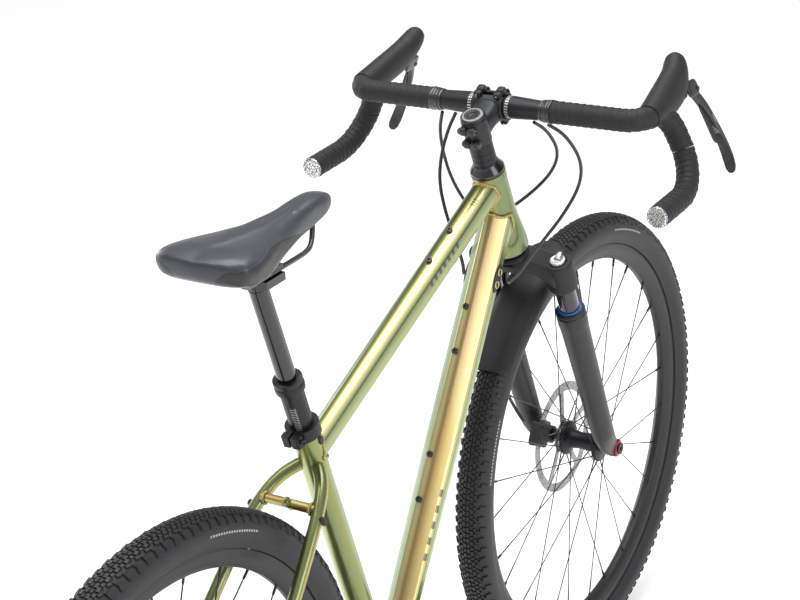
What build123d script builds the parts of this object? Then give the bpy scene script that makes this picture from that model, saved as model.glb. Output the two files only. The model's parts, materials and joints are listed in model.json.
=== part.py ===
"""Gravel bicycle with a suspension fork, a drop handlebar and a height-adjustable seatpost.

Millimetres. +X points forward, +Y to the rider's left, +Z up. The origin is on the ground,
midway between the axles, in the bicycle's middle plane. One STEP file is written per piece.
"""
from math import acos, atan2, cos, degrees, hypot, pi, radians, sin
import os

from build123d import *

# ---- overall layout ----
wheelbase = 1046.0
wheel_radius = 365.0          # over the tread blocks
head_angle = 69.8             # steering axis, from the ground
seat_angle = 73.9
chainstay_length = 450.0
bottom_bracket_drop = 75.0    # below the line between the axles
fork_length = 440.0           # along the steering axis, from the foot point to the crown race
fork_offset = 45.0            # axle ahead of the steering axis
fork_travel = 40.0

# ---- clearances ----
running_gap = 0.05            # radial, shaft in bearing
side_gap = 0.3                # between faces that pass each other

# ---- frame tubes ----
head_tube_length = 139.0
head_tube_base = 8.0          # lower end above the crown race
head_tube_radius = 24.0
head_tube_low_radius = 28.5
head_tube_top_radius = 25.0
top_tube_head_height = 114.0  # its axis above the head tube's lower end
top_tube_seat_distance = 408.0
top_tube_width = 40.0
down_tube_head_height = 67.0
down_tube_ahead = 12.0        # its axis passes this far ahead of the crank axis
down_tube_width = 50.0
port_from_head = 97.03        # cable ports, down from the head tube's axis
down_tube_low_width = 44.0
seat_tube_radius = 18.0
seat_tube_length = 458.0
tube_wall = 2.0
shell_radius = 23.0
shell_width = 73.0
shell_bore = 18.0

# ---- stays ----
stay_radius = 8.5
seatstay_half_top = 19.0
seatstay_top_height = 396.0   # along the seat tube, from the crank axis
bridge_radius = 6.5
bridge_hole_radius = 2.75
bridge_boss_length = 16.0
rear_spacing = 142.0
dropout_thickness = 8.0
eyelet_radius = 2.5
eyelet_depth = 6.0

# ---- seatpost, clamp and saddle ----
post_outer_radius = 15.45
post_inner_radius = 12.5
post_exposed_outer = 76.0     # outer tube above the frame
post_exposed_inner = 139.0    # inner tube above the collar
post_insertion = 230.0
collar_radius = 19.5
collar_length = 20.0
saddle_length = 279.0
saddle_width = 145.0
saddle_nose_reach = 159.9     # nose ahead of the post's head
saddle_stack = 64.0           # top of the saddle above its rails
rail_radius = 3.5
rail_rise = 20.4              # rails above the post's head
rail_half_gap = 22.0

# ---- headset and stem ----
steerer_radius = 14.3
steerer_low_radius = 19.9
upper_bearing_radius = 21.0
lower_bearing_radius = 26.0
stack_height = 52.0           # cover and spacers under the stem
spacer_radius = 17.0
cover_radius = 24.5
stem_reach = 52.0
stem_rise = 2.5               # degrees
stem_clamp_height = 40.0
stem_clamp_radius = 18.2
stem_bar_width = 46.0
cap_height = 5.5

# ---- handlebar ----
bar_width = 453.0             # between the drops' planes at the top
bar_bend = 28.0
bar_reach = 70.0
bar_drop = 116.0
bar_top_hook = 40.0
bar_low_hook = 60.0
bar_tail = 69.0
bar_flare = 24.0
bar_roll = 1.3
bar_clamp_radius = 15.9
bar_radius = 11.9
bar_taper_end = 79.0
bar_bare_radius = 13.5
bar_wall = 1.8
tape_radius = 16.3

# ---- fork ----
leg_half_gap = 62.0
leg_ahead = 18.0
stanchion_radius = 15.0
stanchion_wall = 2.0
crown_leg_radius = 21.5
crown_leg_top = 415.0         # above the axle, along the steering axis
crown_leg_low = 366.0
crown_arch = 415.5            # underside above the wheel
seal_height = 323.0
lower_top_radius = 22.5
lower_low_radius = 18.5
front_spacing = 100.0
dropout_outer = 64.0
axle_radius = 6.0
arch_clearance = 9.0          # over the tyre

# ---- wheels ----
tyre_half_width = 27.0
tyre_wall = 3.5
rim_edge_radius = 317.0
rim_inner_radius = 292.0
rim_half_width = 14.0
spoke_count = 28
spoke_radius = 1.0
nipple_depth = 1.2
nipple_radius = 2.0
hub_sleeve_radius = 9.5
front_rotor_radius = 90.0
rear_rotor_radius = 80.0
front_rotor_y = 34.0
rear_rotor_y = 55.0
rotor_thickness = 1.8
fender_gap = 4.5              # inside face above the tread
fender_thickness = 2.2
fender_half_width = 33.0

# ---- drivetrain ----
chain_pitch = 12.7
chain_y = -46.5
chainring_teeth = 40
cog_teeth = (11, 13, 15, 17, 19, 21, 24, 28, 32, 36, 42)
chain_cog = 21
cog_spacing = 3.9
tooth_half = 0.9
jockey_teeth = 12
freehub_radius = 17.2
crank_length = 172.5
spindle_radius = 12.0
pedal_length = 96.0
pedal_width = 92.0

# ---- worked-out places ----
axle_z = wheel_radius
front_x = wheelbase / 2
rear_x = -wheelbase / 2
crank_z = axle_z - bottom_bracket_drop
crank_x = rear_x + (chainstay_length**2 - bottom_bracket_drop**2) ** 0.5
steer_up = Vector(-cos(radians(head_angle)), 0, sin(radians(head_angle)))
steer_ahead = Vector(sin(radians(head_angle)), 0, cos(radians(head_angle)))
steer_foot = Vector(front_x, 0, axle_z) - steer_ahead * fork_offset
STEER = Plane(origin=steer_foot, x_dir=steer_ahead, z_dir=steer_up).location
seat_up = Vector(-cos(radians(seat_angle)), 0, sin(radians(seat_angle)))
seat_ahead = Vector(sin(radians(seat_angle)), 0, cos(radians(seat_angle)))
crank_axis = Vector(crank_x, 0, crank_z)
SEAT = Plane(origin=crank_axis, x_dir=seat_ahead, z_dir=seat_up).location
head_low = fork_length + head_tube_base
head_top = head_low + head_tube_length
stem_low = head_top + stack_height
bar_ahead = stem_reach * cos(radians(stem_rise))
bar_height = stem_low + stem_clamp_height / 2 + stem_reach * sin(radians(stem_rise))
bar_centre = steer_foot + steer_ahead * bar_ahead + steer_up * bar_height
BAR = Pos(*bar_centre) * Rot(0, -bar_roll, 0)
ring_radius = chainring_teeth * chain_pitch / (2 * pi)
cog_radius = chain_cog * chain_pitch / (2 * pi)
jockey_radius = jockey_teeth * chain_pitch / (2 * pi)
BASE = (Align.CENTER, Align.CENTER, Align.MIN)

pieces = {}


def add(name, *solids):
    """Keep one named piece, made of one or more separate solids."""
    pieces[name] = Compound(label=name, children=[s for part in solids for s in part.solids()])


def at_y(sketch, y_low, y_high):
    """Plate in the side view: the sketch's x and y are X and Z, between two places across."""
    return Pos(0, y_high, 0) * extrude(Plane.XZ * sketch, y_high - y_low, dir=(0, -1, 0))


def disc(x, z, radius, y_low, y_high):
    """Cylinder across the bicycle."""
    return at_y(Pos(x, z) * Circle(radius), y_low, y_high)


def rod(start, end, radius, end_radius=None):
    """Round bar, or cone, from one point to another."""
    start, end = Vector(*start), Vector(*end)
    length = (end - start).length
    plane = Plane(origin=start, z_dir=end - start)
    if end_radius is None:
        return plane.location * Cylinder(radius, length, align=BASE)
    return plane.location * Cone(radius, end_radius, length, align=BASE)


def hull_plate(circles, y_low, y_high):
    """Plate whose outline is the stretched band round some circles given as x, z, radius."""
    edges = Sketch() + [Pos(x, z) * Circle(r) for x, z, r in circles]
    return at_y(make_hull(edges.edges()), y_low, y_high)


def ring(profile):
    """Solid of revolution about Z from outline points given as radius, height."""
    return revolve(Plane.XZ * Polygon(*profile, align=None), Axis.Z)


def mirrored(shape):
    return mirror(shape, about=Plane.XZ)


def octagon(width, height, corner):
    """Tube outline with eight soft-edged facets."""
    points = [(width / 2 * cos(a), height / 2 * sin(a))
              for a in (radians(22.5 + 45 * i) for i in range(8))]
    grow = 1 / cos(radians(22.5))
    outline = Polygon(*[(x * grow, y * grow) for x, y in points], align=None)
    return fillet(outline.vertices(), corner)


def faceted_tube(start, end, sizes, wall):
    """Hollow lofted tube; sizes are fraction along, width across, height in the side view."""
    start, end = Vector(*start), Vector(*end)
    along = (end - start).normalized()
    outer, inner = [], []
    for part, width, height in sizes:
        place = Plane(origin=start + (end - start) * part, x_dir=(0, 1, 0), z_dir=along)
        outer.append(place * octagon(width, height, 6))
        inner.append(place * octagon(width - 2 * wall, height - 2 * wall, 5))
    return loft(outer), loft(inner)


# ---- frame: head tube ----
head_outline = [(head_tube_low_radius, head_low), (head_tube_low_radius, head_low + 16),
                (head_tube_radius, head_low + 60), (head_tube_radius, head_top - 18),
                (head_tube_top_radius, head_top - 12), (head_tube_top_radius, head_top)]
head_solid = STEER * ring([(0, head_low), *head_outline, (0, head_top)])
low_seat, top_seat = 12.0, 9.0
head_bore = [(lower_bearing_radius, head_low), (lower_bearing_radius, head_low + low_seat),
             (23.5, head_low + low_seat), (18.6, head_low + 70),
             (18.6, head_top - top_seat), (upper_bearing_radius, head_top - top_seat),
             (upper_bearing_radius, head_top)]
add("head_tube", STEER * ring([*head_outline, *reversed(head_bore)]))

# ---- frame: seat tube and crank shell ----
shell_solid = disc(crank_x, crank_z, shell_radius, -shell_width / 2, shell_width / 2)
shell_hole = disc(crank_x, crank_z, shell_bore, -shell_width, shell_width)
add("bottom_bracket_shell", shell_solid - shell_hole)
seat_solid = SEAT * Cylinder(seat_tube_radius, seat_tube_length, align=BASE) - shell_solid
seat_bore = SEAT * Cylinder(post_outer_radius, seat_tube_length, align=BASE)
clamp_slot = SEAT * Pos(-seat_tube_radius, 0, seat_tube_length - 12) * Box(16, 3, 24.1)
add("seat_tube", seat_solid - seat_bore - clamp_slot)
seat_round = SEAT * Cylinder(seat_tube_radius, seat_tube_length, align=BASE)

# ---- frame: top tube and down tube ----
top_front = steer_foot + steer_up * (head_low + top_tube_head_height)
top_rear = crank_axis + seat_up * top_tube_seat_distance
top_solid, top_core = faceted_tube(
    top_rear, top_front,
    [(0, top_tube_width - 4, top_tube_width - 4), (0.5, top_tube_width - 2, top_tube_width),
     (1, top_tube_width, top_tube_width + 1)], tube_wall)
top_solid = top_solid - seat_round - head_solid
down_low = Vector(crank_x + down_tube_ahead, 0, crank_z)
down_high = steer_foot + steer_up * (head_low + down_tube_head_height)
down_solid, down_core = faceted_tube(
    down_low, down_high,
    [(0, down_tube_low_width, down_tube_low_width - 2), (0.5, down_tube_width, down_tube_width),
     (1, down_tube_width - 2, down_tube_width + 2)], tube_wall)
down_solid = down_solid - head_solid - shell_solid - seat_round - top_solid
down_along = (down_high - down_low).normalized()
down_normal = Vector(-down_along.Z, 0, down_along.X)
top_along = (top_front - top_rear).normalized()
top_normal = Vector(-top_along.Z, 0, top_along.X)

# threaded bosses and their bolts: four on the down tube, two on the top tube
boss_radius = 3.5
bolt_radius = 2.5
bolt_head_radius = 4.6
bottle_pitch = 64.0
down_boss_places = (235.0, 235.0 + bottle_pitch, 446.0, 446.0 + bottle_pitch)
top_boss_places = (336.0, 336.0 + 61.0)
bolt_spots = ([(down_low + down_along * s, down_normal, down_tube_width / 2) for s in down_boss_places]
              + [(top_rear + top_along * s, top_normal, top_tube_width / 2) for s in top_boss_places])
bolts = []
for spot, normal, half in bolt_spots:
    face = spot + normal * (half + 0.6)
    inside = face - normal * 12
    down_solid -= rod(inside, face + normal * 5, bolt_radius)
    top_solid -= rod(inside, face + normal * 5, bolt_radius)
    bolts.append(rod(inside + normal, face, bolt_radius)
                 + rod(face, face + normal * 2.6, bolt_head_radius)
                 - rod(face + normal * 0.9, face + normal * 3, 2.0))
port_half = down_tube_width / 2
port_centre = down_high - down_along * port_from_head
ports = rod(port_centre + Vector(0, -port_half - 9, 0), port_centre + Vector(0, port_half + 9, 0), 4.0)
down_tube = down_solid - down_core - ports
top_tube = top_solid - top_core
add("down_tube", down_tube)
add("top_tube", top_tube)
for i, bolt in enumerate(bolts):
    bolts[i] = bolt - down_solid - top_solid
add("frame_bolts", *bolts)

# ---- frame: chainstays with the dropouts ----
stay_along = Vector(rear_x - crank_x, 0, axle_z - crank_z).normalized()
stay_normal = Vector(-stay_along.Z, 0, stay_along.X)


def chainstay_section(distance, y, width, height):
    origin = crank_axis + stay_along * distance + Vector(0, y, 0)
    place = Plane(origin=origin, x_dir=(0, 1, 0), z_dir=stay_along)
    return place * RectangleRounded(width, height, min(width, height) / 2 - 0.4)


dropout_in = rear_spacing / 2
left_stay = loft([chainstay_section(6, 29, 13, 32), chainstay_section(60, 37.2, 10.4, 30),
                  chainstay_section(120, 38.6, 10.6, 27), chainstay_section(250, 52, 16, 21),
                  chainstay_section(chainstay_length - 90, 66.5, 12, 19),
                  chainstay_section(chainstay_length - 18, dropout_in + 4, 8.4, 18)])
dropout = hull_plate([(rear_x, axle_z, 19), (rear_x + 34, axle_z - 4, 9), (rear_x + 20, axle_z + 22, 9)],
                     dropout_in, dropout_in + dropout_thickness)
hanger = hull_plate([(rear_x - 2, axle_z - 12, 11), (rear_x - 8, axle_z - 30, 8)],
                    -dropout_in - dropout_thickness, -dropout_in)
rear_out = dropout_in + dropout_thickness
eyelet_x, eyelet_z = rear_x - 5, axle_z + 13.2
left_eyelet = disc(eyelet_x, eyelet_z, eyelet_radius, rear_out - eyelet_depth, rear_out + 10)
axle_hole = disc(rear_x, axle_z, axle_radius, -120, 120)
chainstay_pair = (left_stay + dropout) + mirrored(left_stay + dropout) + hanger
cup_space = disc(crank_x, crank_z, shell_radius, shell_width / 2, shell_width)
chainstay_pair = chainstay_pair - shell_solid - cup_space - mirrored(cup_space)
add("chainstays", chainstay_pair - left_eyelet - mirrored(left_eyelet) - axle_hole)

# ---- frame: seatstays with the bridge ----
stay_root = crank_axis + seat_up * seatstay_top_height
seatstay_points = [stay_root + Vector(-6, 8, -3),
                   stay_root + Vector(-24, 24, -9),
                   Vector(stay_root.X - 56, 41.5, stay_root.Z - 28),
                   Vector(stay_root.X - 90, 50, stay_root.Z - 58),
                   Vector(rear_x + 20, dropout_in + 3, axle_z + 24)]
seatstay_path = FilletPolyline(*seatstay_points, radius=(14, 30, 40))
seatstay_face = Plane(origin=seatstay_path @ 0, z_dir=seatstay_path % 0) * Circle(stay_radius)
left_seatstay = sweep(seatstay_face, seatstay_path)
bridge_centre = Vector(seatstay_points[2].X - 4, 0, seatstay_points[2].Z - 3)
low_run = seatstay_points[4] - seatstay_points[3]
bridge_normal = Vector(low_run.Z, 0, -low_run.X).normalized()
bridge = rod(bridge_centre - Vector(0, 40, 0), bridge_centre + Vector(0, 40, 0), bridge_radius)
boss_half = bridge_normal * (bridge_boss_length / 2)
bridge += rod(bridge_centre - boss_half, bridge_centre + boss_half, bridge_radius)
bridge_hole = rod(bridge_centre - boss_half * 2, bridge_centre + boss_half * 2, bridge_hole_radius)
seatstay_pair = left_seatstay + mirrored(left_seatstay) + bridge
seatstay_pair = seatstay_pair - seat_round - bridge_hole - chainstay_pair - axle_hole
add("seatstays", seatstay_pair)

# ---- bearings: headset and crank cups ----
lower_bearing = ring([(steerer_low_radius + running_gap, head_low + 0.5),
                      (lower_bearing_radius, head_low + 0.5),
                      (lower_bearing_radius, head_low + low_seat),
                      (steerer_low_radius + running_gap, head_low + low_seat)])
upper_bearing = ring([(steerer_radius + running_gap, head_top - top_seat),
                      (upper_bearing_radius, head_top - top_seat),
                      (upper_bearing_radius, head_top), (steerer_radius + running_gap, head_top)])
cup_width = 10.0
cup_solid = disc(crank_x, crank_z, shell_radius - 1, shell_width / 2, shell_width / 2 + cup_width)
cup_solid += disc(crank_x, crank_z, shell_bore, shell_width / 2 - 14, shell_width / 2)
cup_bore = disc(crank_x, crank_z, spindle_radius + running_gap, 0, shell_width)
crank_cup = cup_solid - cup_bore
add("frame_bearings", STEER * lower_bearing, STEER * upper_bearing, crank_cup, mirrored(crank_cup))

# ---- seat clamp ----
clamp_low = seat_tube_length - 15
clamp_ring = Pos(0, 0, clamp_low) * Cylinder(seat_tube_radius + 4, 17, align=BASE)
clamp_ears = Pos(-seat_tube_radius - 7, 0, clamp_low + 8.5) * Box(12, 26, 16)
clamp_ears = fillet(clamp_ears.edges().filter_by(Axis.Z), 3)
clamp_body = clamp_ring + clamp_ears
clamp_body -= Pos(0, 0, clamp_low - 1) * Cylinder(seat_tube_radius, 16, align=BASE)
clamp_body -= Pos(0, 0, clamp_low) * Cylinder(post_outer_radius + 0.4, 30, align=BASE)
clamp_body -= Pos(-seat_tube_radius - 7, 0, clamp_low + 8.5) * Box(20, 3, 20)
pinch_place = Pos(-seat_tube_radius - 7.5, 0, clamp_low + 8.5)
pinch_bolt = pinch_place * Rot(90, 0, 0) * (Cylinder(2.5, 26) + Pos(0, 0, 15) * Cylinder(4.3, 5))
pinch_bolt -= pinch_place * Rot(90, 0, 0) * Pos(0, 0, 16.5) * Cylinder(2, 3)
clamp_body -= pinch_bolt
add("seat_clamp", SEAT * clamp_body, SEAT * pinch_bolt)

# ---- telescopic seatpost ----
post_low = seat_tube_length - post_insertion
post_top = seat_tube_length + post_exposed_outer
post_outer = Pos(0, 0, post_low) * Cylinder(post_outer_radius, post_top - post_low, align=BASE)
post_outer += Pos(0, 0, post_top - collar_length) * Cylinder(collar_radius, collar_length, align=BASE)
post_outer = fillet(post_outer.edges().filter_by(GeomType.CIRCLE).group_by(Axis.Z)[-1], 1.5)
post_outer -= Pos(0, 0, post_low + 4) * Cylinder(post_inner_radius + running_gap, post_top, align=BASE)
add("seatpost_outer", SEAT * post_outer)
inner_low = post_low + 130
inner_top = post_top + post_exposed_inner
post_inner = Pos(0, 0, inner_low) * Cylinder(post_inner_radius, inner_top - inner_low, align=BASE)
post_bore = Cylinder(post_inner_radius - 1.8, inner_top - inner_low - 20, align=BASE)
post_inner -= Pos(0, 0, inner_low - 1) * post_bore
post_inner = SEAT * post_inner
post_head = crank_axis + seat_up * inner_top
rail_height = post_head.Z + rail_rise
cradle_z = rail_height - rail_radius
cradle = Pos(post_head.X, 0, cradle_z - 5) * Box(38, 2 * rail_half_gap + 12, 10)
cradle += rod(post_head - seat_up * 8, (post_head.X - 2, 0, cradle_z - 2), post_inner_radius)
cradle = cradle - Pos(post_head.X, 0, rail_height + 20) * Box(80, 80, 40 + 2 * rail_radius)
rail_beds = [Pos(post_head.X, y, rail_height) * Rot(0, 90, 0) * Cylinder(rail_radius, 80)
             for y in (-rail_half_gap, rail_half_gap)]
clamp_top = Pos(post_head.X, 0, rail_height + rail_radius + 2.2) * Box(34, 2 * rail_half_gap + 11, 4)
clamp_bolts = [Pos(post_head.X + dx, 0, rail_height - 4) * Cylinder(2.5, 21) for dx in (-14, 14)]
add("seatpost_inner", post_inner + cradle - rail_beds, clamp_top - clamp_bolts,
    *[b - (post_inner + cradle) for b in clamp_bolts])

# ---- saddle ----
saddle_nose_x = post_head.X + saddle_nose_reach
saddle_tail_x = saddle_nose_x - saddle_length
saddle_top = rail_height + saddle_stack
# share of the length behind the nose, width share, top below the highest point, depth
saddle_sections = [(0.0, 0.14, 21, 12), (0.035, 0.24, 12, 24), (0.16, 0.29, 6.5, 34),
                   (0.34, 0.33, 11, 38),
                   (0.52, 0.51, 13, 40), (0.70, 0.81, 8, 44), (0.84, 0.98, 3, 44), (0.94, 0.92, 1, 38),
                   (1.0, 0.66, 8, 22)]
saddle_faces = []
for share, wide, below, depth in saddle_sections:
    x = saddle_nose_x - share * saddle_length
    middle = Plane(origin=(x, 0, saddle_top - below - depth / 2), x_dir=(0, 1, 0), z_dir=(-1, 0, 0))
    saddle_faces.append(middle * RectangleRounded(wide * saddle_width, depth, depth * 0.4))
saddle = loft(saddle_faces)
rail_loop = [Vector(saddle_nose_x - 48, 8, saddle_top - 38),
             Vector(saddle_nose_x - 62, 14, rail_height + 12),
             Vector(saddle_nose_x - 84, rail_half_gap, rail_height),
             Vector(post_head.X - 48, rail_half_gap, rail_height),
             Vector(saddle_tail_x + 34, rail_half_gap + 10, saddle_top - 36)]
rail_path = FilletPolyline(*rail_loop, radius=(10, 14, 22))
rail = sweep(Plane(origin=rail_path @ 0, z_dir=rail_path % 0) * Circle(rail_radius), rail_path)
rails = rail + mirrored(rail)
add("saddle", saddle - rails)
add("saddle_rails", rails)

# ---- fork crown with the steerer ----
crown_centre = ring([(0, crown_arch), (27, crown_arch), (27, fork_length - 4), (24, fork_length),
                     (0, fork_length)])
crown_legs, crown_bores = [], []
for y in (-leg_half_gap, leg_half_gap):
    boss = Pos(leg_ahead, y, crown_leg_low) * Cylinder(crown_leg_radius, crown_leg_top - crown_leg_low,
                                                       align=BASE)
    crown_legs.append(fillet(boss.edges().filter_by(GeomType.CIRCLE).sort_by(Axis.Z)[-1], 4))
    crown_bores.append(Pos(leg_ahead, y, crown_leg_low - 1)
                       * Cylinder(stanchion_radius, crown_leg_top - crown_leg_low - 3, align=BASE))
shoulder_side = [(0, fork_length - 2), (26, fork_length - 4), (leg_half_gap + 4, crown_leg_top - 2),
                 (leg_half_gap + 4, crown_leg_low + 22), (leg_half_gap - crown_leg_radius + 4,
                                                          crown_leg_low + 8),
                 (37, crown_arch - 24), (33, crown_arch), (0, crown_arch)]
shoulder_face = Polygon(*shoulder_side, *[(-y, z) for y, z in reversed(shoulder_side[1:-1])], align=None)
shoulder = Plane.YZ * extrude(shoulder_face, 26, both=True)
shoulder = Pos(leg_ahead - 8, 0, 0) * shoulder
shoulder &= Pos(leg_ahead - 7, 0, 400) * Box(44, 200, 120)
steerer = ring([(0, crown_arch + 4), (steerer_low_radius, crown_arch + 4),
                (steerer_low_radius, head_low + low_seat + 2),
                (steerer_radius, head_low + 62), (steerer_radius, stem_low + stem_clamp_height - 3),
                (0, stem_low + stem_clamp_height - 3)])
steerer_bore = Pos(0, 0, crown_arch - 1) * Cylinder(steerer_radius - 2.2, 400, align=BASE)
crown = crown_centre + crown_legs + shoulder + steerer - steerer_bore
for bore in crown_bores:
    crown -= bore
crown = STEER * crown
stanchion_low = 150.0
stanchions, caps = [], []
for y in (-leg_half_gap, leg_half_gap):
    tube = Pos(leg_ahead, y, stanchion_low) * Cylinder(stanchion_radius,
                                                       crown_leg_top - 4 - stanchion_low, align=BASE)
    tube -= Pos(leg_ahead, y, stanchion_low - 1) * Cylinder(stanchion_radius - stanchion_wall,
                                                            crown_leg_top - stanchion_low, align=BASE)
    stanchions.append(STEER * tube)
crown_lid = STEER * Pos(leg_ahead, leg_half_gap, crown_leg_top - 3.9) * Cylinder(12.5, 6.4, align=BASE)
dial_hole = STEER * Pos(leg_ahead, -leg_half_gap, crown_leg_top - 3.9) * Cylinder(12.8, 10, align=BASE)
add("fork_crown", crown - dial_hole - crown_lid)
add("stanchions", *stanchions, crown_lid)
dial = Pos(leg_ahead, -leg_half_gap, crown_leg_top - 3.6) * Cylinder(12.4, 6.6, align=BASE)
dial_tab = Pos(leg_ahead, -leg_half_gap, crown_leg_top + 3) * Pos(9, 0, 1.5) * Box(7, 5, 3)
add("lockout_dial", STEER * (dial + dial_tab))

# ---- fork lowers with the arch ----
legs = []
for y in (-leg_half_gap, leg_half_gap):
    side = 1 if y > 0 else -1
    leg = ring([(0, 26), (lower_low_radius, 26), (lower_low_radius, 150),
                (lower_top_radius, seal_height - 26),
                (lower_top_radius, seal_height - 6), (0, seal_height - 6)])
    legs.append(Pos(leg_ahead, y, 0) * leg)
    foot_in, foot_out = front_spacing / 2, dropout_outer
    low, high = sorted((side * foot_in, side * foot_out))
    foot = hull_plate([(leg_ahead, 34, lower_low_radius - 1), (fork_offset, 0, 15),
                       (leg_ahead + 6, 4, 9)], low, high)
    legs.append(foot)
    collar = ring([(0, 16), (lower_low_radius - 3, 16), (lower_low_radius, 30), (0, 30)])
    legs.append(Pos(leg_ahead, y, 0) * collar)
arch_in = wheel_radius + fender_gap + fender_thickness + 2.0
arch_out = arch_in + 11.0
arch_front = leg_ahead + crown_leg_radius + 4.5
arch_mid_z = (arch_in**2 - (fork_offset - arch_front - 6) ** 2) ** 0.5
arch_points = [(-leg_half_gap, seal_height - 34), (-leg_half_gap + 4, arch_mid_z - 14),
               (-26, arch_mid_z + 6),
               (26, arch_mid_z + 6), (leg_half_gap - 4, arch_mid_z - 14),
               (leg_half_gap, seal_height - 34)]
arch_path = FilletPolyline(*[(arch_front + 6, y, z) for y, z in arch_points], radius=(20, 24, 24, 20))
arch_face = Plane(origin=arch_path @ 0, x_dir=(1, 0, 0), z_dir=arch_path % 0) * RectangleRounded(13, 10,
                                                                                                 4)
arch = sweep(arch_face, arch_path)
for y in (-leg_half_gap, leg_half_gap):
    arch += Pos(leg_ahead + 19, y, seal_height - 34) * Box(24, 12, 26)
lowers = arch
for leg in legs:
    lowers += leg
for y in (-leg_half_gap, leg_half_gap):
    lowers -= Pos(leg_ahead, y, stanchion_low - 60) * Cylinder(stanchion_radius + running_gap, 300,
                                                               align=BASE)
lowers -= disc(fork_offset, 0, axle_radius, -dropout_outer - 5, dropout_outer + 5)
caliper_tabs = [Pos(leg_ahead - 26, leg_half_gap - 12, z) * Box(32, 12, 9) for z in (38, 92)]
lowers = lowers + caliper_tabs
lowers -= Pos(leg_ahead, leg_half_gap, stanchion_low - 60) * Cylinder(stanchion_radius + running_gap,
                                                                      300, align=BASE)
add("fork_lowers", STEER * lowers)
seals = []
for y in (-leg_half_gap, leg_half_gap):
    seal = ring([(stanchion_radius + running_gap, seal_height - 6),
                 (lower_top_radius - 0.6, seal_height - 6),
                 (lower_top_radius - 1.5, seal_height), (stanchion_radius + running_gap,
                                                         seal_height + 1)])
    seals.append(STEER * Pos(leg_ahead, y, 0) * seal)
add("fork_seals", *seals)

# ---- wheels ----
rim_profile = [(rim_edge_radius, rim_half_width), (rim_edge_radius, rim_half_width - 3),
               (rim_edge_radius - 7, rim_half_width - 3), (rim_edge_radius - 7, -rim_half_width + 3),
               (rim_edge_radius, -rim_half_width + 3), (rim_edge_radius, -rim_half_width),
               (rim_edge_radius - 10, -rim_half_width), (rim_inner_radius, -5), (rim_inner_radius, 5),
               (rim_edge_radius - 10, rim_half_width)]
rim_cavity = [(rim_edge_radius - 9, rim_half_width - 3.5), (rim_edge_radius - 9, -rim_half_width + 3.5),
              (rim_inner_radius + 2.5, -4), (rim_inner_radius + 2.5, 4)]


def wheel(prefix, x, hub_half, left_flange, right_flange, flange_radius):
    """Tyre, rim, spokes and hub of one wheel, turned about the axle."""
    place = Pos(x, 0, axle_z) * Rot(-90, 0, 0)
    tread_ring = Pos(wheel_radius - tyre_half_width, 0)
    wall = tread_ring * Circle(tyre_half_width) - tread_ring * Circle(tyre_half_width - tyre_wall)
    cavity = Rectangle(2 * rim_edge_radius, 4 * tyre_half_width)
    far_side = Pos(wheel_radius, -tyre_half_width) * Rectangle(2 * wheel_radius, 2 * tyre_half_width)
    half_tyre = revolve(Plane.XZ * (wall - cavity - far_side), Axis.Z)
    half_tyre += ring([(rim_edge_radius - 6.9, rim_half_width - 6.5),
                       (rim_edge_radius - 6.9, rim_half_width - 3),
                       (rim_edge_radius, rim_half_width - 3),
                       (rim_edge_radius, rim_half_width + 2.5),
                       (rim_edge_radius + 6, tyre_half_width - 7),
                       (rim_edge_radius + 6, tyre_half_width - 11)])
    tyre = half_tyre + mirror(half_tyre, about=Plane.XY)
    add(prefix + "_tyre", place * tyre)
    rim = place * (ring(rim_profile) - ring(rim_cavity))
    spokes = []
    for i in range(spoke_count):
        left = i % 2 == 0
        lean = radians(38 if i % 4 < 2 else -38)
        turn = 2 * pi * i / spoke_count
        root_y = left_flange if left else right_flange
        root_r = flange_radius - 3
        start = (root_r * cos(turn + lean), root_r * sin(turn + lean),
                 root_y + (1.4 if i % 4 < 2 else -1.4))
        end_r = rim_inner_radius + nipple_depth
        end = (end_r * cos(turn), end_r * sin(turn), 2.0 if left else -2.0)
        gap = Vector(*end) - Vector(*start)
        near = Vector(*end) - gap.normalized() * 13
        spokes.append(place * (rod(start, near, spoke_radius) + rod(near, end, nipple_radius)))
    sleeve = hub_sleeve_radius
    hub = ring([(axle_radius + running_gap, -hub_half), (sleeve, -hub_half), (sleeve, right_flange - 6),
                (13, right_flange - 6),
                (flange_radius, right_flange - 3), (flange_radius, right_flange + 3),
                (15, right_flange + 8),
                (15, left_flange - 8), (flange_radius, left_flange - 3), (flange_radius, left_flange + 3),
                (16, left_flange + 5), (sleeve, hub_half - 5), (sleeve, hub_half),
                (axle_radius + running_gap, hub_half)])
    hub = place * hub
    for s in spokes:
        hub -= s
        rim -= s
    add(prefix + "_rim", rim)
    add(prefix + "_spokes", *spokes)
    add(prefix + "_hub", hub)


front_hub_half = front_spacing / 2 - side_gap
rear_hub_half = rear_spacing / 2 - side_gap
wheel("front", front_x, front_hub_half, 24.0, -33.0, 27.0)
wheel("rear", rear_x, rear_hub_half, 40.0, -19.0, 27.0)


def rotor(x, y, radius):
    """Brake disc: a drilled friction band on five swept arms and a centre ring."""
    band = Circle(radius) - Circle(radius - 14)
    holes = Sketch()
    for i in range(30):
        for row, shift in ((3.4, 0.0), (7.2, 0.35), (11.0, 0.0)):
            a = 2 * pi * (i + shift) / 30
            r = radius - row
            holes += Pos(r * cos(a), r * sin(a)) * Circle(1.5)
    disc_face = band - holes
    for i in range(5):
        a = 360 * i / 5
        arm = Rot(0, 0, a) * Polygon((17, -4), (radius * 0.55, 8), (radius - 9, 17), (radius - 11, 26),
                                     (radius * 0.5, 17), (17, 6), align=None)
        disc_face += arm
    disc_face += Circle(25)
    disc_face -= Circle(16.3)
    face = Pos(x, axle_z) * disc_face
    plate = at_y(face, y - rotor_thickness / 2, y + rotor_thickness / 2)
    carrier = at_y(Pos(x, axle_z) * (Circle(21) - Circle(16.3)), y - 4.5, y - rotor_thickness / 2)
    return plate + carrier


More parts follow.
